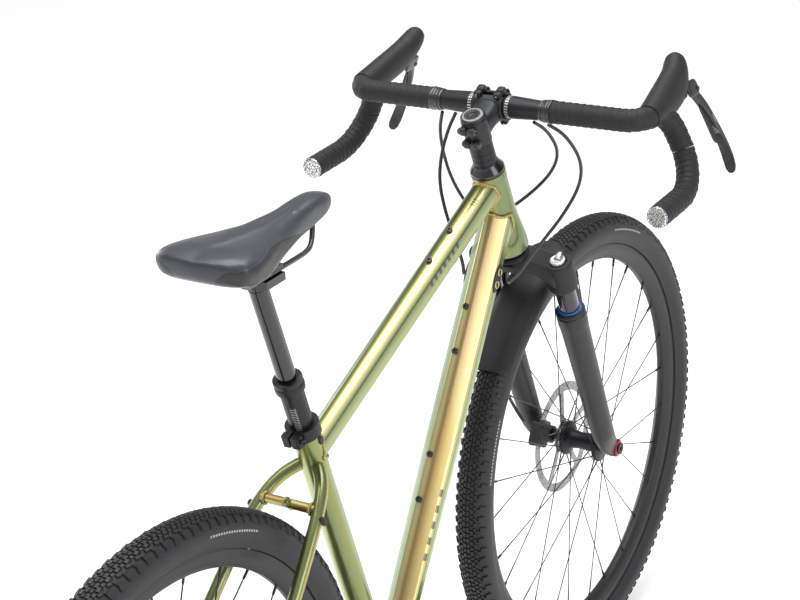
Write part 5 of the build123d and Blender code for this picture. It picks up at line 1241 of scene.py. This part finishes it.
# ---- Lever hoods ----
# Soft textured rubber covers stretched over the brake and shift levers' bodies. Each hugs the bar
# at its thin lip, rises forwards into a rounded horn and leaves room in front for the lever.
hood_soft, place, around, feed, bump = finish("hood_soft", {"Specular IOR Level": 0.35})
hood_share, hood_around = around.part("X"), around.part("Y")
dots = place.node("TexVoronoi", None, {"Vector": place, "Scale": 620.0}).above(0.28, 0.2)
gripped = hood_share.between(0.30, 0.62, 0.05) * hood_around.between(0.10, 0.42, 0.04)
feed("Base Color", place.noise(70.0).mixed((0.014, 0.014, 0.015), (0.025, 0.025, 0.027)))
feed("Roughness", place.noise(600.0) * 0.14 + 0.46)
bump(dots * gripped + place.noise(1400.0) * 0.25, 0.00025, 0.6)
hood_ahead = np.array([20, 27, 42, 62, 84, 106, 124, 136, 143, 147.5, 150, 151.0]) / 1000
hood_up = np.array([0.5, 0.8, 2.0, 4.5, 8.5, 14.0, 22.5, 32.5, 41, 47.2, 50.8, 51.9]) / 1000
hood_wide = np.array([16.9, 17.6, 18.2, 18.6, 18.4, 17.8, 17.2, 16.2, 14.6, 11.8, 7.0, 0.8]) / 1000
hood_tall = np.array([16.9, 17.8, 20.0, 22.8, 24.6, 25.0, 22.5, 18.6, 15.8, 12.4, 7.4, 0.8]) / 1000


def flowed(values, count=84, rounds=4):
    """The values spread evenly over count rows, each then averaged with its neighbours a few times."""
    rows_ = np.interp(np.linspace(0, len(values) - 1, count), np.arange(len(values)), values)
    for _ in range(rounds):
        rows_[1:-1] = (rows_[:-2] + 2 * rows_[1:-1] + rows_[2:]) / 4
    return rows_


hood_line = drop_point(flowed(hood_ahead), flowed(hood_up))
hood_turn = full_turn(60)
side_out = np.array([0.0, cos(flare), sin(flare)])
rounder = np.linspace(1.0, 0.86, 84)[:, None]
hood_section = squarish(flowed(hood_wide)[:, None], flowed(hood_tall)[:, None], hood_turn, rounder)
hood_grid = carried(hood_line, hood_section, -side_out)
bracket_black = grained("bracket_black", {"Specular IOR Level": 0.5, "Coat Weight": 0.2},
                        (150.0, 2.0, (0.014, 0.014, 0.016), (0.026, 0.026, 0.028)), (900.0, 2.0, 0.14, 0.3),
                        (1500.0, 2.0, 0.00004, 0.4))
pivot_ahead, pivot_up = 0.150, -0.004
hoods = []
for way in (1, -1):
    mirror = np.array([1.0, way, 1.0])
    hoods.append(skin("hood", barred(hood_grid * mirror), hood_soft, "steering", sharp=60))
    ways = (AHEAD, side_out, np.cross(AHEAD, side_out))
    for side in (1, -1):
        middle = drop_point(0.1405, -0.0005, side * 0.0098)
        grid = placed(rounded_block((0.0155, 0.0028, 0.0115), 0.55), middle, *ways) * mirror
        hoods.append(skin("cheek", barred(grid), bracket_black, "steering", sharp=60))
    pin_line = eased([(0.0005, -0.0138), (0.0030, -0.0138), (0.0030, -0.0128), (0.0024, -0.0124),
                      (0.0024, 0.0124), (0.0030, 0.0128), (0.0030, 0.0138), (0.0005, 0.0138)], 0.2, 3)
    grid = placed(turned(pin_line, 28), drop_point(pivot_ahead, pivot_up), ways[0], ways[2],
                  side_out) * mirror
    hoods.append(skin("pin", barred(grid), bolt_steel, "steering"))
hood_pair = joined("lever_hoods_moulded", hoods)
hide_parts("lever_hoods")

# ---- Brake levers and shift paddles ----
# Each lever blade is moulded carbon-filled nylon that curves forward and down to a broad finger
# rest, on a steel pin. A shift paddle hangs behind it and swings inwards.
blade_ahead = np.array([147, 152, 161, 167.5, 172, 174.8, 175, 172.5, 169, 166.8, 166.0]) / 1000
blade_up = np.array([2.5, -5, -19, -34, -55, -78, -98, -116, -128, -134.5, -136.0]) / 1000
blade_wide = np.array([1.0, 5.4, 5.8, 6.2, 6.8, 7.4, 8.2, 8.8, 8.2, 5.2, 0.6]) / 1000
blade_thick = np.array([1.0, 7.6, 7.8, 6.8, 5.4, 4.6, 4.2, 4.0, 3.6, 2.6, 0.5]) / 1000
blade_turn = full_turn(40)
blade_line = drop_point(flowed(blade_ahead, 90), flowed(blade_up, 90))
blade_section = np.stack([flowed(blade_wide, 90)[:, None] * squared(np.cos(blade_turn), 0.8),
                          flowed(blade_thick, 90)[:, None] * squared(np.sin(blade_turn), 0.9)], -1)
blade_rows = np.linspace(0, 1, 90)
dish = 0.0016 * np.clip((blade_rows - 0.45) / 0.2, 0, 1) * np.clip((0.97 - blade_rows) / 0.08, 0, 1)
front_face = np.sin(blade_turn)[None] > 0.3
blade_section[..., 1] -= np.where(front_face, dish[:, None] * np.cos(blade_turn)[None] ** 2 * -1
                                  + dish[:, None], 0)
blade_grid = carried(blade_line, blade_section, -side_out)
window_line = drop_point(np.linspace(0.1705, 0.1743, 10), np.linspace(-0.048, -0.076, 10), 0.0001)
paddle_ahead = np.array([156.0, 156.6, 157.6, 158.5, 159.8, 161.0, 161.4, 161.0]) / 1000
paddle_up = np.array([-27.5, -32, -44, -58, -70, -80, -86.5, -88.5]) / 1000
paddle_wide = np.array([0.6, 3.4, 4.2, 5.0, 6.6, 7.6, 4.6, 0.6]) / 1000
paddle_thick = np.array([0.4, 1.9, 2.0, 2.0, 1.9, 1.7, 1.2, 0.3]) / 1000
paddle_line = drop_point(flowed(paddle_ahead, 50, 2), flowed(paddle_up, 50, 2))
paddle_section = np.stack([flowed(paddle_wide, 50, 2)[:, None] * np.cos(blade_turn),
                           flowed(paddle_thick, 50, 2)[:, None] * np.sin(blade_turn)], -1)
paddle_grid = carried(paddle_line, paddle_section, AHEAD)
lever_black = grained("lever_black", {"Coat Weight": 0.35, "Coat Roughness": 0.15},
                      (160.0, 3.0, (0.016, 0.016, 0.018), (0.030, 0.030, 0.032)), (160.0, 3.0, 0.2, 0.28),
                      (1200.0, 2.0, 0.00004, 0.4))
insert_grey = grained("insert_grey", {"Metallic": 0.7}, (300.0, 2.0, (0.20, 0.20, 0.20), (0.32, 0.32, 0.32)),
                      (700.0, 2.0, 0.2, 0.3))
for name, way in (("left", 1), ("right", -1)):
    mirror = np.array([1.0, way, 1.0])
    blade = [skin("blade", barred(blade_grid * mirror), lever_black, name + "_brake_lever",
                  sharp=60)]
    strip = np.array([0.0032, 0.0052]) * np.stack([np.cos(blade_turn), np.sin(blade_turn)], -1)
    blade.append(skin("insert", barred(carried(window_line, strip * [2.16, 0.9], -side_out) * mirror),
                      insert_grey, name + "_brake_lever"))
    lever = joined(name + "_lever_blade", blade)
    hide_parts("brake_lever_" + name)
    paddle = skin(name + "_paddle_blade", barred(paddle_grid * mirror), bracket_black,
                  name + "_shift_paddle", sharp=60)
    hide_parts("shift_paddle_" + name)

# ---- Brake hoses and gear cables ----
# Two hoses and two cables in 5 mm black housing leave the tape beside the stem, loop forward and
# down, and enter the frame's ports. The front hose follows the left leg to its caliper.
hose_black, place, around, feed, bump = finish("hose_black",
                                               {"Specular IOR Level": 0.45, "Coat Weight": 0.2})
braid = (around.part("X") * 900.0).sine()
feed("Base Color", place.noise(50.0).mixed((0.014, 0.014, 0.015), (0.028, 0.028, 0.030)))
feed("Roughness", place.noise(400.0) * 0.15 + 0.32)
bump(braid + place.noise(800.0), 0.00003, 0.3)
hose_radius = 0.0025
right_outer = [(0.304, -0.084, 0.968), (0.322, -0.100, 0.950), (0.352, -0.108, 0.905),
               (0.366, -0.098, 0.862), (0.352, -0.076, 0.818), (0.322, -0.056, 0.785),
               (0.282, -0.042, 0.752), (0.262, -0.033, 0.742)]
right_inner = [(0.304, -0.062, 0.969), (0.330, -0.068, 0.950), (0.366, -0.066, 0.908),
               (0.384, -0.044, 0.868), (0.378, -0.010, 0.832), (0.352, 0.024, 0.806), (0.312, 0.040, 0.780),
               (0.276, 0.038, 0.752), (0.258, 0.032, 0.738)]
left_inner = [(0.304, 0.062, 0.969), (0.304, 0.076, 0.944), (0.300, 0.088, 0.906), (0.296, 0.092, 0.866),
              (0.290, 0.082, 0.828), (0.278, 0.062, 0.792), (0.262, 0.040, 0.764), (0.250, 0.032, 0.750)]
leg_route = np.array([(62, 86, 436), (58, 90, 402), (48, 93, 366), (34, 93, 322), (20, 92, 276),
                      (10, 90, 228), (0, 84, 182), (-12, 72, 144), (-22, 56, 120), (-30, 42, 106)]) / 1000
front_route = [(0.304, 0.084, 0.968), (0.316, 0.098, 0.938), (0.334, 0.106, 0.896), (0.352, 0.106, 0.850),
               (0.370, 0.096, 0.808)]
front_route = np.concatenate([front_route, steered(leg_route)])
tucked = {"right": (right_outer, right_inner), "left": (left_inner,)}


def hose(name, route, across):
    """Round housing carried along the smooth curve that the route's points steer."""
    return skin(name, carried(evened(eased(route, 0.5, 10), 130), round_section(hose_radius, 20), across),
                hose_black, None)


for name, routes in tucked.items():
    bundle = joined(name + "_housings", [hose("hose", route, np.array([0.35, 0.9, 0.15]))
                                         for route in routes])
    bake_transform(bundle)
    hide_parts(name + "_cables")
front_hose = hose("front_brake_hose", front_route, np.array([0.1, 1.0, 0.1]))
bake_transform(front_hose)
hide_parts("left_cables")

# ---- Dropper seatpost ----
# An alloy outer tube with a printed depth scale is clamped in the frame; the polished black inner
# tube slides in its collar and carries the saddle clamp, whose cradle and bolts are forged alloy.
post_gloss = grained("post_gloss", {"Metallic": 0.3, "Coat Weight": 0.8, "Coat Roughness": 0.04},
                     (40.0, 2.0, (0.004, 0.004, 0.005), (0.008, 0.008, 0.009)), (700.0, 2.0, 0.08, 0.12))
dressed("seatpost_inner", post_gloss)
outer_black, place, around, feed, bump = finish("outer_black", {"Metallic": 0.5, "Specular IOR Level": 0.5})
share, turn = around.part("X"), around.part("Y")
facing = turn.between(0.52, 0.60, 0.006)
scale = share.repeats(90.0).between(0.1, 0.45, 0.1) * share.between(0.50, 0.80, 0.004)
feed("Base Color", (facing * scale * 0.8).mixed((0.020, 0.020, 0.022), (0.62, 0.62, 0.62)))
feed("Roughness", place.noise(500.0) * 0.14 + 0.26)
bump(place.noise(1500.0), 0.00003, 0.4)

collar_line = evened(eased([(0.0126, 0.300), (0.0154, 0.300), (0.0154, 0.5140), (0.0190, 0.5150),
                            (0.0194, 0.5180), (0.0194, 0.5240), (0.0182, 0.5255), (0.0182, 0.5275),
                            (0.0193, 0.5290), (0.0190, 0.5330), (0.0165, 0.5338), (0.0126, 0.5338)], 0.12,
                           4), 150)
outer_post = skin("outer_tube", seated(turned(collar_line, 80)), outer_black, "frame",
                  loop=True)
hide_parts("seatpost_outer")

# ---- Saddle rails ----
# One steel rod bent into two rails, dark painted, that spread from the shell's nose and rise into
# its tail.
rail_dark = grained("rail_dark", {"Metallic": 0.9}, (120.0, 2.0, (0.10, 0.10, 0.11), (0.18, 0.18, 0.19)),
                    (800.0, 2.0, 0.12, 0.2))
half_rail = np.array([(-0.1560, 0.008, 0.9810), (-0.1660, 0.0135, 0.9715), (-0.1760, 0.0180, 0.9620),
                      (-0.1900, 0.0220, 0.9572), (-0.2200, 0.022, 0.957), (-0.3060, 0.022, 0.957),
                      (-0.3200, 0.0236, 0.9605), (-0.3340, 0.0272, 0.9710), (-0.3480, 0.0312, 0.9830)])
rails = [skin("rail", carried(evened(eased(half_rail * [1, way, 1], 0.5, 8), 90), round_section(0.0034, 20),
                              np.array([0.1, 1.0, 0.1])), rail_dark, "seatpost")
         for way in (1, -1)]
rail_pair = joined("bent_rails", rails)
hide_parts("saddle_rails")

# ---- Saddle ----
# A foam pad on a nylon shell under smooth slate vinyl, stretched and glued under the edge. A shallow
# channel runs down the middle between two soft ridges, and darker side panels are sewn on.
vinyl, place, around, feed, bump = finish("vinyl",
                                          {"Specular IOR Level": 0.5, "Coat Weight": 0.25,
                                           "Coat Roughness": 0.25})
grain = place.node("TexVoronoi", {"feature": "DISTANCE_TO_EDGE"}, {"Vector": place, "Scale": 1100.0})
outward = place.part("Y").size()
short = (outward * -1.0 + 0.052).between(0.0, 1.0, 0.0002) * (outward * -1.0 + 0.052)
below_seam = short * short * -30.0 + 1.006 - place.part("Z")
low_side = below_seam.above(0.0, 0.0008)
seam = below_seam.between(-0.0007, 0.0007, 0.0005)
crown_tone = place.noise(30.0).mixed((0.036, 0.040, 0.049), (0.048, 0.053, 0.064))
side_tone = place.noise(40.0).mixed((0.012, 0.013, 0.015), (0.018, 0.019, 0.022))
feed("Base Color", low_side.mixed(crown_tone, side_tone))
feed("Roughness", low_side * 0.12 + place.noise(500.0) * 0.1 + 0.30)
bump(grain * 0.08 - seam, 0.0006, 0.8)
saddle_nose, saddle_tail, saddle_top, saddle_half = -0.1085, -0.3835, 1.0200, 0.0715
stations = np.array([0, 0.035, 0.10, 0.18, 0.34, 0.52, 0.66, 0.76, 0.86, 0.94, 0.985, 1.0])
half_width = np.array([0.02, 0.19, 0.27, 0.29, 0.345, 0.53, 0.74, 0.88, 0.96, 0.93, 0.66,
                       0.05]) * saddle_half
crest = saddle_top - np.array([22.0, 14.5, 8.8, 8.0, 11.5, 12.5, 9.0, 5.5, 2.5, 2.0, 6.0, 12.0]) / 1000
skirt = saddle_top - np.array([23.5, 33.0, 39.0, 42.0, 46.0, 49.0, 50.0, 50.0, 46.0, 40.0, 33.0,
                               26.0]) / 1000
along_saddle = 0.5 - 0.5 * np.cos(np.linspace(0, pi, 110))


def eased_along(values):
    """Values at the stations carried to every row and averaged with their neighbours."""
    line = np.interp(along_saddle, stations, values)
    for _ in range(5):
        line[1:-1] = (line[:-2] + 2 * line[1:-1] + line[2:]) / 4
    return line[:, None]


wide, high, low = eased_along(half_width), eased_along(crest), eased_along(skirt)
a = full_turn(96)[None]
across = wide * squared(np.cos(a), 0.62)
upper = np.clip(np.sin(a), 0, 1) ** 0.55
lower_ = np.clip(-np.sin(a), 0, 1) ** 0.35
waist = high - (high - low) * 0.55
level = waist + (high - waist) * upper - (waist - low) * lower_
channel = 0.0032 * np.clip((along_saddle[:, None] - 0.12) / 0.2, 0,
                           1) * np.clip((0.97 - along_saddle[:, None]) / 0.2, 0, 1)
ridge_place = 0.0085 + 0.010 * along_saddle[:, None] ** 2
swell = 0.0016 * np.exp(-((np.abs(across) - ridge_place) / 0.006) ** 2) - np.exp(-((across / 0.0075) ** 2))
level = level + channel * swell * (np.sin(a) > 0)
tuck = 1 - 0.10 * lower_
saddle_grid = np.stack([saddle_nose + (saddle_tail - saddle_nose) * along_saddle[:, None] + 0 * a,
                        across * tuck, level], -1)
saddle = skin("padded_saddle", saddle_grid, vinyl, "seatpost", sharp=60)
remesh = saddle.modifiers.new("remesh", "REMESH")
remesh.mode, remesh.voxel_size, remesh.use_smooth_shade = "VOXEL", 0.0040, True
with bpy.context.temp_override(active_object=saddle, object=saddle):
    bpy.ops.object.modifier_apply(modifier="remesh")
rest = np.empty(len(saddle.data.vertices) * 3)
saddle.data.vertices.foreach_get("co", rest)
cloth = saddle.modifiers.new("cloth", "CLOTH")
cloth.settings.use_pressure = True
cloth.settings.uniform_pressure_force = 4.0
cloth.settings.effector_weights.gravity = 0.0
cloth.settings.tension_stiffness = cloth.settings.compression_stiffness = 40.0
held = saddle.vertex_groups.new(name="glued edge")
rest = rest.reshape(-1, 3)
glued = np.flatnonzero(rest[:, 2] < 0.983)
held.add(glued.tolist(), 1.0, "REPLACE")
cloth.settings.vertex_group_mass = "glued edge"
for moment in range(1, 21):
    bpy.context.scene.frame_set(moment)
shown = saddle.evaluated_get(bpy.context.evaluated_depsgraph_get())
moved = np.empty(rest.size)
shown.data.vertices.foreach_get("co", moved)
step = moved.reshape(-1, 3) - rest
length = np.linalg.norm(step, axis=1, keepdims=True)
step = step * np.minimum(1, 0.0016 / np.maximum(length, 1e-9))
saddle.modifiers.remove(cloth)
saddle.vertex_groups.clear()
saddle.data.vertices.foreach_set("co", (rest + step).ravel())
bpy.context.scene.frame_set(1)
softener = saddle.modifiers.new("softener", "SMOOTH")
softener.iterations = 4
rounding = saddle.modifiers.new("rounding", "SUBSURF")
rounding.levels = rounding.render_levels = 1
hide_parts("saddle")

# ---- Crank, pedals and gears ----
# Forged black cranks on a steel spindle with a single ring, flat pedals, a wide steel cassette, and
# a derailleur with an alloy cage, on which two toothed plastic wheels steer the chain.
crank_satin = grained("crank_satin", {"Metallic": 0.5, "Coat Weight": 0.2},
                      (60.0, 4.0, (0.018, 0.018, 0.020), (0.036, 0.036, 0.040)), (60.0, 4.0, 0.2, 0.25),
                      (1400.0, 2.0, 0.00004, 0.4))
gear_steel = grained("gear_steel", {"Metallic": 1.0}, (220.0, 4.0, (0.16, 0.15, 0.14), (0.36, 0.35, 0.34)),
                     (220.0, 4.0, 0.3, 0.22), (220.0, 4.0, 0.00006, 0.5))
gear_plastic = grained("gear_plastic", {"Specular IOR Level": 0.4},
                       (90.0, 2.0, (0.020, 0.020, 0.022), (0.034, 0.034, 0.036)), (600.0, 2.0, 0.2, 0.4),
                       (1300.0, 2.0, 0.00004, 0.4))
dressed("crankset", crank_satin)
dressed("derailleur_body", gear_plastic)
dressed("derailleur_cage", black_alloy)
dressed("cassette", gear_steel)
for node in ("pedal_left", "pedal_right", "jockey_upper", "jockey_lower"):
    dressed(node, gear_plastic)

# ---- Chain ----
# Pressed steel plates in pairs, wide and narrow by turns, riveted on pins that carry rollers.
pitch, chain_left = 0.0127, -0.0465
guides = np.array([crank[[0, 2]], rear_axle[[0, 2]] + [0.042, -0.128], rear_axle[[0, 2]] + [-0.002, -0.082],
                   rear_axle[[0, 2]]])
guide_radius = np.array([0.08085, 0.02425, 0.02425, 0.04245])
guide_turn = np.array([1, 1, -1, 1])


def belt(centres, radii, turns_):
    """Closed line round the wheels. The tangent from one to the next has a normal whose angle from
    the line of centres is acos((s0 r0 - s1 r1) / d); s is 1 for a wheel on the right of the way."""
    ahead_ = np.roll(centres, -1, 0) - centres
    apart = np.linalg.norm(ahead_, axis=1)
    signed = turns_ * radii
    normal = np.arctan2(ahead_[:, 1], ahead_[:, 0]) + np.arccos((signed - np.roll(signed, -1)) / apart)
    leave, arrive = normal + (turns_ < 0) * pi, np.roll(normal, 1) + (turns_ < 0) * pi
    sweep = ((leave - arrive) * -turns_) % (2 * pi) * -turns_
    angle = arrive[:, None] + sweep[:, None] * np.linspace(0, 1, 60)
    line = centres[:, None] + radii[:, None, None] * np.stack([np.cos(angle), np.sin(angle)], -1)
    return line.reshape(-1, 2)


loop_line = belt(guides, guide_radius, guide_turn)
loop_line = np.concatenate([loop_line, loop_line[:1]])
links = 2 * round(np.linalg.norm(np.diff(loop_line, axis=0), axis=1).sum() / pitch / 2)
pins = evened(loop_line, links + 1)[:-1]
on = np.roll(pins, -1, 0) - pins
step = np.linalg.norm(on, axis=1).mean()
on = unit(on)
off = np.stack([-on[:, 1], on[:, 0]], -1)
bow = np.linspace(pi / 2, 3 * pi / 2, 9)
outline = np.concatenate([np.stack([0.0041 * np.cos(bow), 0.0041 * np.sin(bow)], -1), [(step / 2, -0.0032)],
                          np.stack([step - 0.0041 * np.cos(bow), -0.0041 * np.sin(bow)], -1),
                          [(step / 2, 0.0032)]])
flat_link = pins[:, None] + outline[None, :, :1] * on[:, None] + outline[None, :, 1:] * off[:, None]
plates = []
for side in (1, -1):
    inner = np.where(np.arange(links) % 2 == 0, 0.0016, 0.0026)
    for shell in (0.0, 0.0009):
        left_ = chain_left + side * (inner + shell)
        plates.append(np.stack([flat_link[..., 0], left_[:, None] + 0 * flat_link[..., 0],
                                flat_link[..., 1]], -1))
count = len(outline)
ring_ = list(range(count))
walls = [(i, (i + 1) % count, (i + 1) % count + count, i + count) for i in ring_]
faces = [tuple(reversed(ring_)), tuple(i + count for i in ring_)] + walls
turned_faces = [tuple(reversed(face)) for face in faces]
right_plates = np.concatenate([plates[2], plates[3]], 1)
left_plates = np.concatenate([plates[0], plates[1]], 1)
rivet_ends = np.stack([pins[:, 0], 0 * pins[:, 0] + chain_left, pins[:, 1]], -1)
chain_parts = [copied("plates", left_plates, turned_faces, gear_steel, "frame"),
               copied("plates", right_plates, faces, gear_steel, "frame"),
               rods("rollers", rivet_ends - LEFT * 0.0036, rivet_ends + LEFT * 0.0036,
                    (0, 0, 0.28, 0.28, 0.72, 0.72, 1, 1),
                    (0.0004, 0.0018, 0.0018, 0.0034, 0.0034, 0.0018, 0.0018, 0.0004), gear_steel, "frame",
                    14)]
chain = joined("riveted_chain", chain_parts)
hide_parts("chain")

# ---- Floor, light and camera ----
# A pale seamless floor under soft studio light: a wide bank overhead, one low at each side.
floor_finish, place, around, feed, bump = finish("floor", {"Base Color": (0.9, 0.9, 0.9), "Roughness": 0.9,
                                                                "Emission Color": (1.0, 1.0, 1.0),
                                                           "Emission Strength": 0.35})
floor_half = 14.0
bpy.ops.mesh.primitive_plane_add(size=2 * floor_half, location=(0, 0, 0))
floor = bpy.context.object
floor.name = "floor"
floor.data.materials.append(floor_finish)
world = bpy.data.worlds.new("studio")
bpy.context.scene.world = world
world.use_nodes = True
sky = world.node_tree.nodes["Background"]
sky.inputs["Strength"].default_value = 1.0
sky_start = Wire(world.node_tree, None)
height = sky_start.node("TexCoord", out="Generated").part("Z")
dome = height.node("ValToRGB", {"stops": [(0.0, (0.8, 0.8, 0.8)), (1.0, (0.95, 0.95, 0.95)),
                                          (0.12, (0.45, 0.46, 0.47)), (0.45, (0.25, 0.25, 0.26)),
                                          (0.75, (0.8, 0.8, 0.8))]}, {"Fac": height})
world.node_tree.links.new(dome.socket, sky.inputs["Color"])


def soft_box(name, place, target, wide, tall, watts):
    """Area light facing a target."""
    lamp = bpy.data.lights.new(name, "AREA")
    lamp.shape = "RECTANGLE"
    lamp.size, lamp.size_y, lamp.energy = wide, tall, watts
    made = bpy.data.objects.new(name, lamp)
    made.location = place
    made.rotation_euler = (Vector(target) - Vector(place)).to_track_quat("-Z", "Y").to_euler()
    bpy.context.scene.collection.objects.link(made)


soft_box("overhead_bank", (0.2, 0.3, 3.2), (0.1, 0.0, 0.7), 3.0, 1.6, 60)
soft_box("right_bank", (-0.6, -3.0, 1.6), (0.1, 0.0, 0.7), 1.6, 1.6, 30)
soft_box("left_bank", (0.8, 3.0, 1.4), (0.1, 0.0, 0.7), 1.4, 1.4, 22)

camera_yaw, camera_pitch, camera_roll = radians(33.51), radians(-22.875), radians(4.29)
camera_data = bpy.data.cameras.new("camera")
camera_data.lens = 90.93
camera_data.sensor_width = 36.0
camera = bpy.data.objects.new("camera", camera_data)
bpy.context.scene.collection.objects.link(camera)
sight = Vector((cos(camera_pitch) * cos(camera_yaw), cos(camera_pitch) * sin(camera_yaw), sin(camera_pitch)))
camera.location = (-2.0061, -1.3506, 1.8333)
camera.rotation_mode = "QUATERNION"
camera.rotation_quaternion = Quaternion(sight, camera_roll) @ sight.to_track_quat("-Z", "Y")
bpy.context.scene.camera = camera
bpy.context.scene.view_settings.view_transform = "Standard"
